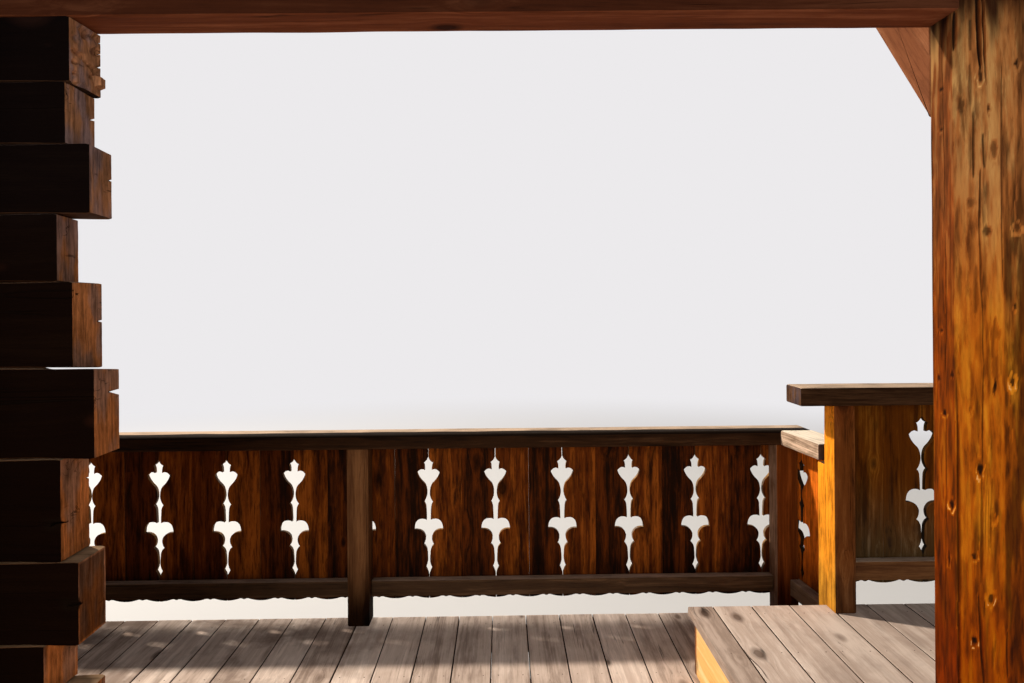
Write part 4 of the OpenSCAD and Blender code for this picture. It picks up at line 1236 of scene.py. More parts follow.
def flat_board(heap, outline, thickness, broken=0.0015, place=None, along=(0, 1), sides_cut=1.0,
               groove=0.0):
    """Adds a board whose outline runs anticlockwise in (x, y), and which is thickness high in z.

    With a groove, the edge leans back by that much from its foot to its top, so that two boards
    that touch below show a dark joint between them above."""
    small, lean = inset(outline, broken + groove), inset(outline, groove)
    rings = [(inset(outline, broken), 0.0), (outline, broken),
             (lean if groove else outline, thickness - broken), (small, thickness)]
    points = np.concatenate([np.column_stack([ring, np.full(len(ring), z)]) for ring, z in rings])
    n = len(outline)
    faces = [list(range(n))[::-1], list(range(3 * n, 4 * n)), *strip_faces(4, n)]
    cuts = [0.0] * (n + 2) + [sides_cut] * n + [0.0] * n
    way = np.array(along, float)
    across = np.array([way[1], -way[0]])
    grain = np.column_stack([points[:, :2] @ way, points[:, :2] @ across, points[:, 2]])
    grain += [dice.uniform(0, 40) for _ in range(3)]
    heap.add(put(place, points), faces, grain, dice.random(), cuts=cuts)


# %% Bracket and purlin
bracket_low, bracket_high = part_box("bracket")
BRACE_DEPTH = 0.106
BRACKET_TOE = 0.003
reach = bracket_high.y - bracket_low.y
drop = bracket_high.z - bracket_low.z
slope = Vector((reach - BRACKET_TOE, drop)).normalized()
side_step = BRACE_DEPTH / slope.y
brace_top = reach - side_step
brace_wall = drop * (side_step - BRACKET_TOE) / (reach - BRACKET_TOE)


def standing_board(heap, outline, low, high, broken, along):
    """A board whose outline's x runs out of the house and whose y runs up, across the whole box."""
    place = Matrix.Translation((high.x, low.y, low.z)) @ Matrix(
        ((0, 0, -1, 0), (1, 0, 0, 0), (0, 1, 0, 0), (0, 0, 0, 1)))
    flat_board(heap, outline, high.x - low.x, broken, place, along, sides_cut=0.0)


heap = Heap()
for outline in ([(0, 0), (BRACKET_TOE, 0), (reach, drop), (brace_top, drop), (0, brace_wall)],
                [(0, brace_wall), (brace_top, drop), (0, drop)]):
    standing_board(heap, outline, bracket_low, bracket_high, 0.004, tuple(slope))
heap.piece("bracket_hewn", BRACKET, "bracket_wood", "bracket")

purlin_low, purlin_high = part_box("purlin")
NOSE_L, NOSE_H = 0.110, 0.090
length, tall = purlin_high.y - purlin_low.y, purlin_high.z - purlin_low.z
nose = [(length - NOSE_L * math.cos(math.radians(a)), NOSE_H * math.sin(math.radians(a)))
        for a in range(10, 90, 10)]
profile = [(0, 0), (length - NOSE_L, 0), *nose, (length, NOSE_H), (length, tall), (0, tall)]
heap = Heap()
standing_board(heap, profile, purlin_low, purlin_high, 0.006, (1, 0))
heap.piece("purlin_hewn", BEAM, "beam_wood", "purlin")

# %% [markdown]
# ## Boards set in rows
# Floor boards and railing boards repeat, so Geometry Nodes set them out. Each board kind is a small
# mesh in a collection, and a mesh of bare points says where one stands and which kind it is. The
# tree puts the boards on the points, tilts each a little, gives each its own tone and shifts its
# grain, so no two boards show the same knots. Then it makes the instances real, because a finished
# model can't carry instances.

# %% Tree: set boards on points
def geometry_tree(name, inputs):
    """A tree that takes points and the named inputs, and gives a mesh."""
    return new_group(name, [("Geometry", "Geometry", None), *inputs], [("Geometry", "Geometry")],
                     "GeometryNodeTree")


def on_mesh(tree, name, kind):
    """What the points or faces carry in an attribute."""
    return add(tree, "GeometryNodeInputNamedAttribute", {"Name": name}, data_type=kind).outputs[0]


def keep(tree, mesh, name, value, kind="FLOAT", domain="POINT"):
    """Stores the value in an attribute of the mesh or of its instances."""
    feeds = {"Geometry": mesh, "Name": name, "Value": value}
    return add(tree, "GeometryNodeStoreNamedAttribute", feeds, data_type=kind, domain=domain).outputs[0]


def deal(tree, kind, low, high, seed):
    """A random value for each instance; the sockets' numbers differ from kind to kind."""
    first, output = {"FLOAT_VECTOR": (0, 0), "FLOAT": (2, 1), "INT": (4, 2)}[kind]
    return add(tree, "FunctionNodeRandomValue", {first: low, first + 1: high, "Seed": seed},
               data_type=kind).outputs[output]


def set_from(tree, given, collection, pick, **how):
    """Sets one of the collection's objects on each point; pick says which."""
    kinds = add(tree, "GeometryNodeCollectionInfo", {
        "Collection": given[collection], "Separate Children": True, "Reset Children": True})
    return add(tree, "GeometryNodeInstanceOnPoints", {
        "Points": given["Geometry"], "Instance": kinds.outputs[0], "Pick Instance": True,
        "Instance Index": pick, **how}).outputs[0]


def end_tree(tree, mesh, given, result):
    """The last step of each tree: the material."""
    finished = add(tree, "GeometryNodeSetMaterial", {"Geometry": mesh, "Material": given["Finish"]})
    tree.links.new(finished.outputs[0], result[0])
    return tree


def build_board_tree():
    tree, given, result = geometry_tree("set_boards", [
        ("Boards", "Collection", None), ("Sway", "Float", 0.002), ("Shrink", "Float", 0.0),
        ("Seed", "Int", 1), ("Finish", "Material", None)])

    def chance(low, high, offset):
        seed = add(tree, "ShaderNodeMath", {0: given["Seed"], 1: float(offset)}).outputs[0]
        return deal(tree, "FLOAT_VECTOR", low, high, seed)

    sway = add(tree, "ShaderNodeCombineXYZ", {k: given["Sway"] for k in range(3)}).outputs[0]
    less = add(tree, "ShaderNodeVectorMath", {0: sway, "Scale": -1.0}, operation="SCALE").outputs[0]
    short = minus(tree, 1.0, given["Shrink"])
    least = add(tree, "ShaderNodeCombineXYZ", {0: 1.0, 1: short, 2: 1.0}).outputs[0]
    kind = on_mesh(tree, "kind", "INT")
    placed = set_from(tree, given, "Boards", kind, Rotation=chance(less, sway, 0),
                      Scale=chance(least, (1, 1, 1), 1))
    tone = parts(tree, chance((0, 0, 0), (1, 1, 1), 2))[0]
    toned = keep(tree, placed, "tone", tone, domain="INSTANCE")
    shifted = keep(tree, toned, "shift", chance((0, 0, 0), (30, 30, 30), 3), "FLOAT_VECTOR", "INSTANCE")
    real = add(tree, "GeometryNodeRealizeInstances", {0: shifted}).outputs[0]
    shift = on_mesh(tree, "shift", "FLOAT_VECTOR")
    grain = vcalc(tree, "ADD", on_mesh(tree, "grain", "FLOAT_VECTOR"), shift)
    return end_tree(tree, keep(tree, real, "grain", grain, "FLOAT_VECTOR"), given, result)


SET_BOARDS = build_board_tree()
print("tree:", SET_BOARDS.name, "nodes:", len(SET_BOARDS.nodes))


# %% Running a tree, and rows of boards
def grow(name, tree, points, sizes=None, **inputs):
    """Runs a geometry tree on a mesh of bare points and returns the result as a plain mesh object."""
    base = bpy.data.meshes.new(name)
    base.from_pydata([p[0] for p in points], [], [])
    store(base, "kind", [p[1] for p in points], "INT")
    if sizes:
        store(base, "size", sizes, "FLOAT_VECTOR")
    made = bpy.data.objects.new(name, base)
    bpy.context.scene.collection.objects.link(made)
    modifier = made.modifiers.new("rows", "NODES")
    modifier.node_group = tree
    for item in tree.interface.items_tree:
        if item.in_out == "INPUT" and item.name in inputs:
            modifier[item.identifier] = inputs[item.name]
    seen_object = made.evaluated_get(bpy.context.evaluated_depsgraph_get())
    plain = bpy.data.meshes.new_from_object(seen_object)
    made.modifiers.remove(modifier)
    made.data = plain
    return made


def kind_collection(name, meshes):
    """A collection with one object for each board kind; names keep their order."""
    collection = bpy.data.collections.new(name)
    for k, mesh in enumerate(meshes):
        collection.objects.link(bpy.data.objects.new(f"{name}_{k:02d}", mesh))
    return collection


def clear_kinds(collection):
    """Removes the board kinds once their rows are made."""
    for made in list(collection.objects):
        bpy.data.objects.remove(made)
    bpy.data.collections.remove(collection)


def row(name, outlines, thickness, spots, finish, upright=False, broken=0.0015, groove=0.0,
        pale_kinds=(), **inputs):
    """A row of boards: outlines are the kinds, spots are (place, kind), and the edges of
    pale_kinds aren't darkened as joints."""
    turn = Matrix.Identity(4)
    if upright:
        turn = Matrix.Translation((0, thickness, 0)) @ Matrix.Rotation(math.radians(90), 4, "X")
    meshes = []
    for k, outline in enumerate(outlines):
        heap = Heap()
        flat_board(heap, outline, thickness, broken, turn, groove=groove,
                   sides_cut=0.0 if k in pale_kinds else 1.0)
        meshes.append(heap.mesh(f"{name}_kind_{k:02d}"))
    kinds = kind_collection(name + "_kinds", meshes)
    made = grow(name, SET_BOARDS, spots, Boards=kinds, Finish=finish, **inputs)
    clear_kinds(kinds)
    soften(made.data)
    print(name, "boards:", len(spots))
    return made

# %% [markdown]
# ## The floor boards
# The boards run out of the house, 178 mm from joint to joint, over the loggia and the balcony. Where
# the wall and the post stand on the sill line, a board is notched round them or made in two
# lengths. The outlines follow from the box of each obstacle.

# %% Floor boards
PITCH = 0.178
FIRST_JOINT = 0.293
BOARD_GAP = 0.0012
LAID = {"Sway": 0.0008, "Shrink": 0.002, "broken": 0.0018, "groove": 0.0022}
CLEARANCE = 0.012
deck_low, deck_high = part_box("balcony_deck")
inner_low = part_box("loggia_floor")[0]
board_t = deck_high.z - deck_low.z
wall_in, wall_out = WALL_Y[0] - CLEARANCE, WALL_Y[1] + CLEARANCE
heads_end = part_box("log_course_01")[1].x + CLEARANCE
blocked = [(-10.0, heads_end), (post_low.x - CLEARANCE, post_high.x + CLEARANCE)]


def sheet(x0, y0, x1, y1):
    """A rectangle as an outline."""
    return [(x0, y0), (x1, y0), (x1, y1), (x0, y1)]


def floor_outlines(a, b):
    """The boards between x = a and x = b, as outlines."""
    for start, stop in blocked:
        if start <= a and b <= stop:
            pieces = [sheet(a, wall_out, b, deck_high.y)]
            inside = max(a, inner_low.x)
            if b - inside > 0.03:
                pieces.append(sheet(inside, inner_low.y, b, wall_in))
            return pieces
        if a < stop < b:
            return [[(a, inner_low.y), (b, inner_low.y), (b, deck_high.y), (a, deck_high.y),
                     (a, wall_out), (stop, wall_out), (stop, wall_in), (a, wall_in)]]
        if a < start < b:
            return [[(a, inner_low.y), (b, inner_low.y), (b, wall_in), (start, wall_in),
                     (start, wall_out), (b, wall_out), (b, deck_high.y), (a, deck_high.y)]]
    return [sheet(a, inner_low.y, b, deck_high.y)]


first = math.floor((deck_low.x - FIRST_JOINT) / PITCH)
last = math.ceil((deck_high.x - FIRST_JOINT) / PITCH)
outlines, spots = [], []
for k in range(first, last):
    a = max(FIRST_JOINT + k * PITCH + BOARD_GAP / 2, deck_low.x)
    b = min(FIRST_JOINT + (k + 1) * PITCH - BOARD_GAP / 2, deck_high.x)
    for outline in floor_outlines(a, b):
        middle = np.mean([np.min(outline, 0), np.max(outline, 0)], 0)
        spots.append(((middle[0], middle[1], deck_low.z), len(outlines)))
        outlines.append((np.array(outline) - middle).tolist())
floor_boards = row("floor_boards", outlines, board_t, spots, DECK, Seed=4, **LAID)

# %% Platform boards
PLATFORM_PITCH = 0.175
FIRST_WIDTH = 0.114
plat_low, plat_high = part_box("platform_deck")
depth = plat_high.y - plat_low.y
edges = [plat_low.x, plat_low.x + FIRST_WIDTH]
while edges[-1] + 1.4 * PLATFORM_PITCH < plat_high.x:
    edges.append(edges[-1] + PLATFORM_PITCH)
edges.append(plat_high.x)
widths = sorted({round(b - a, 4) for a, b in zip(edges, edges[1:])})
outlines = [sheet(-w / 2 + BOARD_GAP / 2, -depth / 2, w / 2 - BOARD_GAP / 2, depth / 2) for w in widths]
spots = [(((a + b) / 2, (plat_low.y + plat_high.y) / 2, plat_low.z), widths.index(round(b - a, 4)))
         for a, b in zip(edges, edges[1:])]
platform_boards = row("platform_boards", outlines, plat_high.z - plat_low.z, spots, PLATFORM, Seed=9,
                      pale_kinds=[widths.index(FIRST_WIDTH)], **LAID)

# %% Fascia and risers
SKIRT_T = 0.028
for node_name, name, finish, slot in (("deck_fascia", "fascia_boards", BOARD, "board_wood"),
                                      ("platform_risers", "riser_boards", PAINTED_SUN_RISER, "riser_wood")):
    heap = Heap()
    low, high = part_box(node_name)
    back = high.y - SKIRT_T
    timber(heap, (low.x, back, low.z), high, "x", hew=0.001, radius=0.003, cell=0.014)
    for x in (low.x, high.x - SKIRT_T):
        timber(heap, (x, low.y, low.z), (x + SKIRT_T, back, high.z), "y", hew=0.001, radius=0.003,
               cell=0.014)
    heap.piece(name, finish, slot, node_name)

# %% [markdown]
# ## The fretwork railing
# Two neighbouring boards each have one half of a cut-out sawn into their edges, so a single
# outline, a chain of curves down one side of the figure, makes every board. The boards' lower ends
# are scalloped. A board with the cut on its left is the mirror image of one with it on its right.

# %% Outline of a railing board
BOARD_W = 0.180
JOINT = 0.003
TIGHT = 0.0005
MOTIF_TOP = 0.850
SCALLOP, NIB = 0.014, 0.016
BOARD_FOOT, BOARD_HEAD = 0.095, 0.935
CURVE_STEPS = 7
PANEL_SWAY = 0.0012
# Half width and depth under the upper tip, in mm: a control point and an end for each curve
FIGURE = [
    ((10, 22), (26, 28)), ((18, 38), (19, 68)), ((40, 54), (60, 80)), ((52, 110), (26, 134)),
    ((8, 150), (7, 190)), ((8, 220), (25, 240)), ((14, 250), (13, 272)), ((11, 300), (11, 336)),
    ((24, 327), (46, 331)), ((76, 338), (77, 388)), ((28, 384), (17, 425)), ((15, 452), (29, 468)),
    ((13, 478), (9, 500)), ((6, 530), (6, 556)), ((9, 578), (18, 592)), ((6, 608), (1.5, 630))]


def figure_side(tip):
    """Points (half width, height above the deck) down one side of the cut-out, in metres."""
    points = [(tip, MOTIF_TOP)]
    start = (1.5, 0.0)
    for control, stop in FIGURE:
        for k in range(1, CURVE_STEPS + 1):
            t = k / CURVE_STEPS
            half, down = (start[i] * (1 - t) ** 2 + control[i] * 2 * t * (1 - t) + stop[i] * t * t
                          for i in (0, 1))
            points.append((max(half / 1000, tip), MOTIF_TOP - down / 1000))
        start = stop
    return points


def joint_side(side):
    """The same for one side of a joint: the tip's half width of a cut-out, or an open stretch."""
    if side is None:
        return [(TIGHT, MOTIF_TOP)]
    if isinstance(side, float):
        return figure_side(side)
    low, high, half = side
    return [(TIGHT, high + 0.02), (half, high), (half, low), (TIGHT, low - 0.02)]


def fret_outline(width, head, left_side, right_side):
    """A board with its lower left corner at x = 0, anticlockwise from there."""
    left, right = joint_side(left_side), joint_side(right_side)
    reach = BOARD_W / 2 - NIB
    bow = (reach ** 2 + SCALLOP ** 2) / (2 * SCALLOP)
    half = width / 2
    spans = [k / CURVE_STEPS * (half - NIB) for k in range(CURVE_STEPS + 1)]
    arc = [(span, BOARD_FOOT + bow - math.sqrt(bow ** 2 - min(span, reach) ** 2)) for span in spans]
    foot = [(max(u, left[-1][0]), z) for u, z in arc]
    foot += [(half - NIB + k * NIB / 3, BOARD_FOOT + SCALLOP - 0.007 * math.sin(k * math.pi / 6))
             for k in range(1, 6)]
    foot += [(width - max(u, right[-1][0]), z) for u, z in reversed(arc)]
    up_side = [(width - h, z) for h, z in reversed(right)]
    return foot + up_side + [(width - right[0][0], head), (left[0][0], head)] + left


def fret_panel(name, joints, sides, face_y, deck_top, head, seed, finish=BOARD, place=None):
    """A panel of boards between the joints; sides says what is special at a joint's number."""
    outlines, spots, seen_kinds = [], [], {}
    for k, (left, right) in enumerate(zip(joints, joints[1:])):
        key = (round(right - left, 4), sides.get(k), sides.get(k + 1))
        if key not in seen_kinds:
            seen_kinds[key] = len(outlines)
            outlines.append(fret_outline(right - left, head, key[1], key[2]))
        spots.append(((left, face_y, deck_top), seen_kinds[key]))
    panel = row(name, outlines, panel_t, spots, finish, upright=True, Sway=PANEL_SWAY, Shrink=0.0,
                Seed=seed)
    if place is not None:
        panel.data.transform(place)
    return panel


panel_low, panel_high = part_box("fret_panel_right")
panel_t = panel_high.y - panel_low.y
deck_top = deck_high.z
first_cut = panel_low.x
left_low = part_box("fret_panel_left")[0]
# Light falls through two of the plain joints: from, to and half width
RIGHT_OPEN = (0.52, 0.90, 0.0014)
LEFT_OPEN = (0.22, 0.38, 0.0012)
joints = [first_cut - JOINT / 2 + k * BOARD_W for k in range(13)] + [panel_high.x + JOINT / 2]
sides = {k: JOINT / 2 for k in range(0, 13, 2)} | {1: RIGHT_OPEN}
right_panel = fret_panel("fretwork_right", joints, sides, panel_low.y, deck_top, BOARD_HEAD, 21)
joints = [left_low.x - JOINT / 2] + [first_cut - JOINT / 2 - (12 - k) * BOARD_W for k in range(13)]
sides = {k: TIGHT for k in range(1, 14, 2)} | {8: LEFT_OPEN}
left_panel = fret_panel("fretwork_left", joints, sides, panel_low.y, deck_top, BOARD_HEAD, 22)
upper_low, upper_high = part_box("upper_fret_panel")
UPPER_CUT = 1.911
joints = [upper_low.x - JOINT / 2, *(UPPER_CUT + k * BOARD_W for k in range(-1, 7)),
          upper_high.x + JOINT / 2]
upper_panel = fret_panel("fretwork_upper", joints, {2: TIGHT, 4: TIGHT, 6: TIGHT}, upper_low.y,
                         plat_high.z, BOARD_HEAD - 0.004, 23, UPPER_BOARD)
RETURN_TURN = math.radians(5)
RETURN_JOINTS = (0.003, 0.128, 0.308, 0.488, 0.540)
corner = (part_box("railing_post_corner")[1].x, panel_low.y)
return_place = Matrix.Translation((*corner, 0)) @ Matrix.Rotation(RETURN_TURN, 4, "Z")
facing_right = return_place @ Matrix.Rotation(math.radians(-90), 4, "Z")
return_panel = fret_panel("fretwork_return", RETURN_JOINTS, {1: TIGHT}, 0.0, deck_top, BOARD_HEAD,
                          24, RETURN_BOARD, facing_right)

# %% [markdown]
# ## Nails
# The floor boards are nailed to every joist and the railing boards to their rail and cap. A nail
# head is a low dome of a few faces, because there are hundreds of them. A second tree sets one on
# each point, and the nails are then joined to the boards that they hold.

# %% Tree: set nails on points
def build_nail_tree():
    tree, given, result = geometry_tree("set_nails", [
        ("Head Radius", "Float", 0.003), ("Turn", "Vector", (0, 0, 0)), ("Seed", "Int", 1),
        ("Finish", "Material", None)])
    dome = add(tree, "GeometryNodeMeshUVSphere",
               {"Segments": 8, "Rings": 4, "Radius": given["Head Radius"]}).outputs[0]
    low = add(tree, "GeometryNodeTransform", {"Geometry": dome, "Scale": (1, 1, 0.28)}).outputs[0]
    size = deal(tree, "FLOAT", 0.85, 1.1, given["Seed"])
    placed = add(tree, "GeometryNodeInstanceOnPoints", {
        "Points": given["Geometry"], "Instance": low, "Rotation": given["Turn"], "Scale": size})
    real = add(tree, "GeometryNodeRealizeInstances", {0: placed.outputs[0]}).outputs[0]
    return end_tree(tree, real, given, result)


SET_NAILS = build_nail_tree()
NAIL, nail_tree, nail_shader = new_finish("nail_iron")
rust = cloud(nail_tree, where_on(nail_tree), 60.0, 2.0)
nail_tree.links.new(blend(nail_tree, ramp(nail_tree, rust, 0.4, 0.6), seen(66, 54, 46),
                          seen(86, 64, 50)), nail_shader.inputs["Base Color"])
nail_shader.inputs["Metallic"].default_value = 0.6
nail_shader.inputs["Roughness"].default_value = 0.6


def nail_down(boards, spots, turn, seed):
    """Sets nails on the spots and joins them to the boards' piece."""
    nails = grow(boards.name + "_nails", SET_NAILS, [(s, 0) for s in spots], Turn=turn, Seed=seed,
                 Finish=NAIL)
    join_to(boards, nails)


def floor_nails(xs, ys, top, keep_off):
    """Nails where the lines cross, but none in the boxes to keep off."""
    return [(x, y, top) for x in xs for y in ys
            if not any(low[0] < x < high[0] and low[1] < y < high[1] for low, high in keep_off)]


# %% Nails in the floors and the panels
# Nails stand so far from a board's middle, and keep so far from a post and the wall
NAIL_OFF, CLEAR = 0.055, 0.04
# Rows on the platform, from its inner edge and from its outer one, and heights on the panels
ROWS_FROM_IN, ROW_FROM_OUT = (0.068, 0.405, 0.740), 0.083
PANEL_NAILS = (0.17, 0.90)
lines = [((low + high) / 2)[1] for low, high in shells("deck_joists")]
keep_off = [((-4, WALL_Y[0] - CLEAR), (heads_end + 0.03, WALL_Y[1] + CLEAR)),
            ((-4, -2), (inner_low.x + 0.03, WALL_Y[0])),
            ((post_low.x - CLEAR, WALL_Y[0] - CLEAR), (post_high.x + CLEAR, WALL_Y[1] + CLEAR)),
            ((plat_low.x, plat_low.y), (3, plat_high.y))]
nail_x = [FIRST_JOINT + (k + 0.5) * PITCH + side * NAIL_OFF
          for k in range(first, last) for side in (-1, 1)]
nail_x = [x for x in nail_x if deck_low.x + 0.02 < x < deck_high.x - 0.02]
nail_down(floor_boards, floor_nails(nail_x, lines, deck_high.z, keep_off), (0, 0, 0), 5)
rows_y = [*(plat_low.y + inward for inward in ROWS_FROM_IN), plat_high.y - ROW_FROM_OUT]
nail_x = [(edges[0] + edges[1]) / 2,
          *((a + b) / 2 + side * NAIL_OFF for a, b in zip(edges[1:], edges[2:]) for side in (-1, 1))]
keep_off = [((post_low.x - CLEAR, -1), (post_high.x + CLEAR, WALL_Y[1] + CLEAR))]
nail_down(platform_boards, floor_nails(nail_x, rows_y, plat_high.z, keep_off), (0, 0, 0), 6)
for panel, top, count in ((right_panel, deck_top, 13), (left_panel, deck_top, 13),
                          (upper_panel, plat_high.z, 9)):
    low, high = (np.array([v.co[i] for v in panel.data.vertices]) for i in (0, 1))
    x0, x1, face = low.min(), low.max(), high.max()
    spots = [(x0 + 0.05 + (x1 - x0 - 0.1) * k / (2 * count - 1), face - 0.0005, top + z)
             for k in range(2 * count) for z in PANEL_NAILS]
    nail_down(panel, spots, (math.radians(-90), 0, 0), 7)
hand_in(floor_boards, "deck_wood", "balcony_deck", "loggia_floor")
hand_in(platform_boards, "deck_wood", "platform_deck")
hand_in(right_panel, "board_wood", "fret_panel_right")
hand_in(left_panel, "board_wood", "fret_panel_left")
hand_in(upper_panel, "board_wood", "upper_fret_panel")
hand_in(return_panel, "board_wood", "return_fret_panel")

# %% [markdown]
# ## Posts, caps and bottom rails
# The railing's frame is planed timber with small bevels. The caps are wide and lie in the weather:
# their tops are grey and rubbed pale, which the recipe gives to every face of that wood that looks
# up. The return opens outwards by five degrees, so its parts are made square and then turned.

# %% Posts, caps and rails
PLANED = {"hew": 0.0015, "radius": 0.006, "cell": 0.012}
bars("railing_posts", UPRIGHT, "rail_wood", "z", "railing_post_left", "railing_post_middle",
     spacing=0.05, **PLANED)
bars("corner_upright", CORNER, "rail_wood", "z", "railing_post_corner", spacing=0.05, **PLANED)
bars("sunlit_posts", PAINTED_SUN_WOOD, "rail_wood", "z", "return_post", "upper_posts", spacing=0.05, **PLANED)
# The return's bottom rail in its own axes: how wide it is, and from where to where it runs
RAIL_BACK, RAIL_RUN = 0.056, (-0.520, -0.060)
heap = Heap()
for low, high in shells("railing_bottom_rail")[:2]:
    timber(heap, low, high, "x", spacing=0.06, **PLANED)
heap.piece("bottom_rails", RAIL, "rail_wood", "railing_bottom_rail")
low, high = shells("railing_bottom_rail")[2]
heap = Heap()
timber(heap, (-RAIL_BACK, RAIL_RUN[0], low[2]), (0, RAIL_RUN[1], high[2]), "y", return_place,
       spacing=0.06, **PLANED)
heap.piece("turned_rail", GREY_RAIL, "rail_wood")
bars("upper_rail", UPRIGHT, "rail_wood", "x", "upper_bottom_rail", spacing=0.06, **PLANED)
CAP_EDGE = {"hew": 0.0025, "radius": 0.009, "cell": 0.012}
WORN_EDGE = 0.013
DARK_TOP = 0.070


def handled(spots, flat, outward):
    """The arris that hands and sleeves rub is rounder than the others, and the top beside it dark."""
    near, top = flat[..., 0].min(), flat[..., 1].max()
    from_near, from_top = flat[..., 0] - near, top - flat[..., 1]
    worn = np.clip(1 - from_near / WORN_EDGE, 0, 1) * np.clip(1 - from_top / WORN_EDGE, 0, 1)
    edge_wanders = (wave(spots[..., :1] * (1, 0, 0), (4.0, 1, 1), 6.0) - 0.5) * 0.03
    rubbed = smooth((DARK_TOP + edge_wanders - from_near) / 0.014 + 0.5) * (from_top < WORN_EDGE)
    return np.stack([worn * 0.004, -worn * 0.004], -1), np.maximum(rubbed, smooth(worn * 1.6))


bars("long_cap", CAP, "rail_wood", "x", "railing_cap", spacing=0.05, shape=handled,
     hew=0.0025, radius=0.007, cell=0.006)
bars("high_cap", CAP, "rail_wood", "x", "upper_cap", spacing=0.05, **CAP_EDGE)
heap = Heap()
cap_low, cap_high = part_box("return_cap")
CAP_SIDES = (-0.108, 0.064)
lean = math.tan(RETURN_TURN)
ends = [(y - corner[1]) / math.cos(RETURN_TURN) - lean * CAP_SIDES[1] for y in (cap_low.y, cap_high.y)]
timber(heap, (CAP_SIDES[0], ends[0], cap_low.z), (CAP_SIDES[1], ends[1], cap_high.z), "y",
       return_place, spacing=0.04, skew=lean, **CAP_EDGE)
heap.piece("turned_cap", PALE_CAP, "rail_wood", "return_cap")

# %% [markdown]
# ## Pegs and stones
# Two wooden pegs hold the beam's tenon. The timber stands on rough stones: single ones under the
# bearers and posts, and a low wall of two courses under the logs. A stone is a cube that was rounded
# and dented by noise, and Geometry Nodes set a few such stones over and over, each with its own size.

# %% Pegs
heap = Heap()
PEG_SIDES = 14
for low, high in shells("beam_pegs"):
    centre, radius = (low + high) / 2, (high[0] - low[0]) / 2
    rings = [(low[1], 0.82), (low[1] + 0.003, 1.0), (high[1] - 0.003, 1.0), (high[1], 0.82)]
    turn = [(math.cos(a), math.sin(a)) for a in np.arange(PEG_SIDES) * 2 * math.pi / PEG_SIDES]
    points = [(centre[0] + radius * share * c, y, centre[2] + radius * share * s)
              for y, share in rings for c, s in turn]
    faces = [list(range(PEG_SIDES)), list(range(3 * PEG_SIDES, 4 * PEG_SIDES))[::-1]]
    faces += [face[::-1] for face in strip_faces(4, PEG_SIDES)]
    spots = np.array(points)
    heap.add(spots, faces, spots[:, [1, 0, 2]] + dice.uniform(0, 9), dice.random(),
             cuts=[1.0, 1.0] + [0.0] * (3 * PEG_SIDES))
heap.piece("pegs", POST, "post_wood", "beam_pegs")

# %% Stones
def stone_finish(name, dark, mid, pale):
    """Grey field stone: speckled, with a few pale veins, and darker at its foot."""
    finish, tree, shader = new_finish(name)
    place, tone = where_on(tree), told(tree, "tone")
    specks = cloud(tree, place, 90.0, 6.0, 0.7)
    patches = cloud(tree, place, 9.0, 4.0, 0.6)
    vein = ramp(tree, calc(tree, "ABSOLUTE", minus(tree, cloud(tree, place, 5.0, 3.0), 0.5)),
                0.004, 0.03, 0.5, 0)
    level = plus(tree, times(tree, specks, 0.5), times(tree, patches, 0.5))
    level = plus(tree, level, times(tree, minus(tree, tone, 0.5), 0.3))
    colour = blend(tree, ramp(tree, level, 0.3, 0.52), seen(*dark), seen(*mid))
    colour = blend(tree, ramp(tree, level, 0.5, 0.72), colour, seen(*pale))
    colour = blend(tree, vein, colour, seen(190, 186, 178))
    darker_foot = ramp(tree, parts(tree, place)[2], 0.0, 0.05, 0.5, 0.0)
    colour = blend(tree, darker_foot, colour, seen(60, 56, 50))
    tree.links.new(colour, shader.inputs["Base Color"])
    tree.links.new(ramp(tree, specks, 0.2, 0.8, 0.75, 0.95), shader.inputs["Roughness"])
    bump = add(tree, "ShaderNodeBump", {"Strength": 0.7, "Distance": 0.004, "Height": level})
    tree.links.new(bump.outputs[0], shader.inputs["Normal"])
    return finish


STONE = stone_finish("field_stone", (96, 94, 92), (136, 133, 128), (168, 164, 156))
MORTAR = stone_finish("lime_mortar", (120, 114, 104), (150, 144, 132), (172, 166, 154))
ROCK_STEPS = 9
ROCK_KINDS = 5


# %% Five kinds of stone, and the tree that sets them
def rock(seed):
    """A dented block that fills the cube from -0.5 to 0.5."""
    grid = np.linspace(-1, 1, ROCK_STEPS)
    points, faces = [], []
    for axis in range(3):
        for side in (-1, 1):
            base = len(points)
            for a in grid:
                for b in grid:
                    spot = np.empty(3)
                    spot[axis], spot[(axis + 1) % 3], spot[(axis + 2) % 3] = side, a, b
                    points.append(spot)
            for i in range(ROCK_STEPS - 1):
                for j in range(ROCK_STEPS - 1):
                    k = base + i * ROCK_STEPS + j
                    quad = [k, k + ROCK_STEPS, k + ROCK_STEPS + 1, k + 1]
                    faces.append(quad if side > 0 else quad[::-1])
    points = np.array(points)
    round_off = (np.abs(points) ** 9).sum(1, keepdims=True) ** (-1 / 9)
    points = points * round_off * (0.88 + 0.12 * wave(points, (1.6, 1.6, 1.6), seed * 7.0)[:, None])
    points *= 0.97 + 0.03 * wave(points, (6.0, 6.0, 6.0), seed * 3.0)[:, None]
    _, first, same = np.unique(np.round(points, 5), axis=0, return_index=True, return_inverse=True)
    same = same.ravel()
    heap = Heap()
    heap.add(points[first] / 2, [[same[k] for k in face] for face in faces], points[first])
    return heap.mesh(f"rock_{seed}")


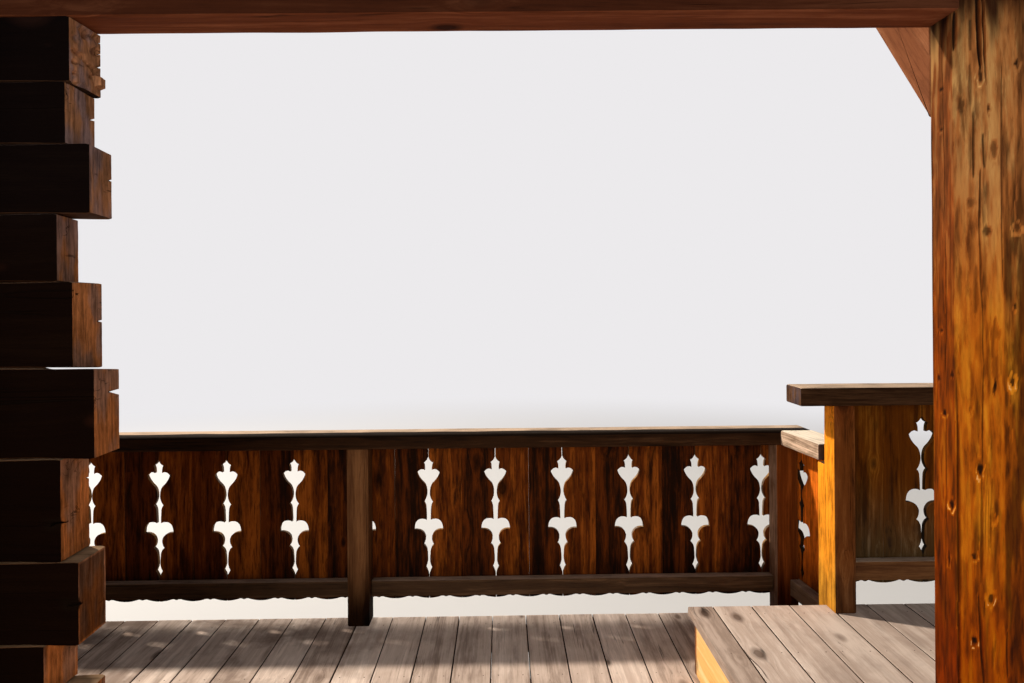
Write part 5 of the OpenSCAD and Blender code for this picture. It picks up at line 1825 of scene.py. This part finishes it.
def build_stone_tree():
    tree, given, result = geometry_tree("set_stones", [
        ("Stones", "Collection", None), ("Seed", "Int", 1), ("Finish", "Material", None)])
    half_turn = times(tree, deal(tree, "INT", 0, 1, given["Seed"]), math.pi)
    turn = add(tree, "ShaderNodeCombineXYZ", {2: half_turn}).outputs[0]
    pick = deal(tree, "INT", 0, ROCK_KINDS - 1, given["Seed"])
    placed = set_from(tree, given, "Stones", pick, Rotation=turn,
                      Scale=on_mesh(tree, "size", "FLOAT_VECTOR"))
    shade = deal(tree, "FLOAT", 0.0, 1.0, given["Seed"])
    toned = keep(tree, placed, "tone", shade, domain="INSTANCE")
    real = add(tree, "GeometryNodeRealizeInstances", {0: toned}).outputs[0]
    return end_tree(tree, real, given, result)


SET_STONES = build_stone_tree()
rocks = kind_collection("rock_kinds", [rock(k + 1) for k in range(ROCK_KINDS)])


# %% Pads and footing
def stones(name, boxes, seed, *replaced, bed=()):
    """Sets one stone in each box; bed lists boxes of mortar behind them."""
    spots = [(tuple((low + high) / 2), 0) for low, high in boxes]
    made = grow(name, SET_STONES, spots, sizes=[tuple(high - low) for low, high in boxes],
                Stones=rocks, Seed=seed, Finish=STONE)
    made.data.shade_smooth()
    if bed:
        heap = Heap()
        for low, high in bed:
            timber(heap, low, high, "xyz"[int(np.argmax(high - low))], hew=0.006, radius=0.01,
                   spacing=0.03, cell=0.03)
        join_to(made, heap.object(name + "_bed", MORTAR))
    hand_in(made, "stone", *replaced)


# The least and the largest length of a stone in the footing, and the shortest one at its end
STONE_LENGTHS, LAST_STONE = (0.17, 0.32), 0.12
# How much higher the lower course is than half of the footing
LOWER_MORE = 0.008


def stone_rows(low, high, along, seed):
    """Boxes of two courses of stones that fill a low wall."""
    draw = random.Random(seed)
    boxes = []
    middle = (low[2] + high[2]) / 2 + LOWER_MORE
    for bottom, top in ((low[2], middle), (middle, high[2])):
        at = low[along]
        while at < high[along] - 0.001:
            size = draw.uniform(*STONE_LENGTHS)
            stop = at + size if at + size < high[along] - LAST_STONE else high[along]
            one_low, one_high = np.array(low, float), np.array(high, float)
            one_low[along], one_high[along] = at, stop
            one_low[2], one_high[2] = bottom, top
            boxes.append((one_low, one_high))
            at = stop
    return boxes


stones("pad_boulders", shells("pad_stones"), 3, "pad_stones")
foot_low, foot_high = (np.array(v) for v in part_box("stone_footing"))
front_low = np.array([foot_low[0], WALL_Y[0] - 0.02, 0.0])
side_low = np.array([CROSS_X[0] - 0.02, foot_low[1], 0.0])
side_high = np.array([CROSS_X[1] + 0.02, front_low[1], foot_high[2]])
boxes = stone_rows(front_low, foot_high, 0, 5) + stone_rows(side_low, side_high, 1, 6)
BED = 0.014
bed = [(front_low + BED, foot_high - BED), (side_low + BED, side_high - (BED, -0.03, BED))]
stones("footing_stones", boxes, 4, "stone_footing", bed=bed)
clear_kinds(rocks)
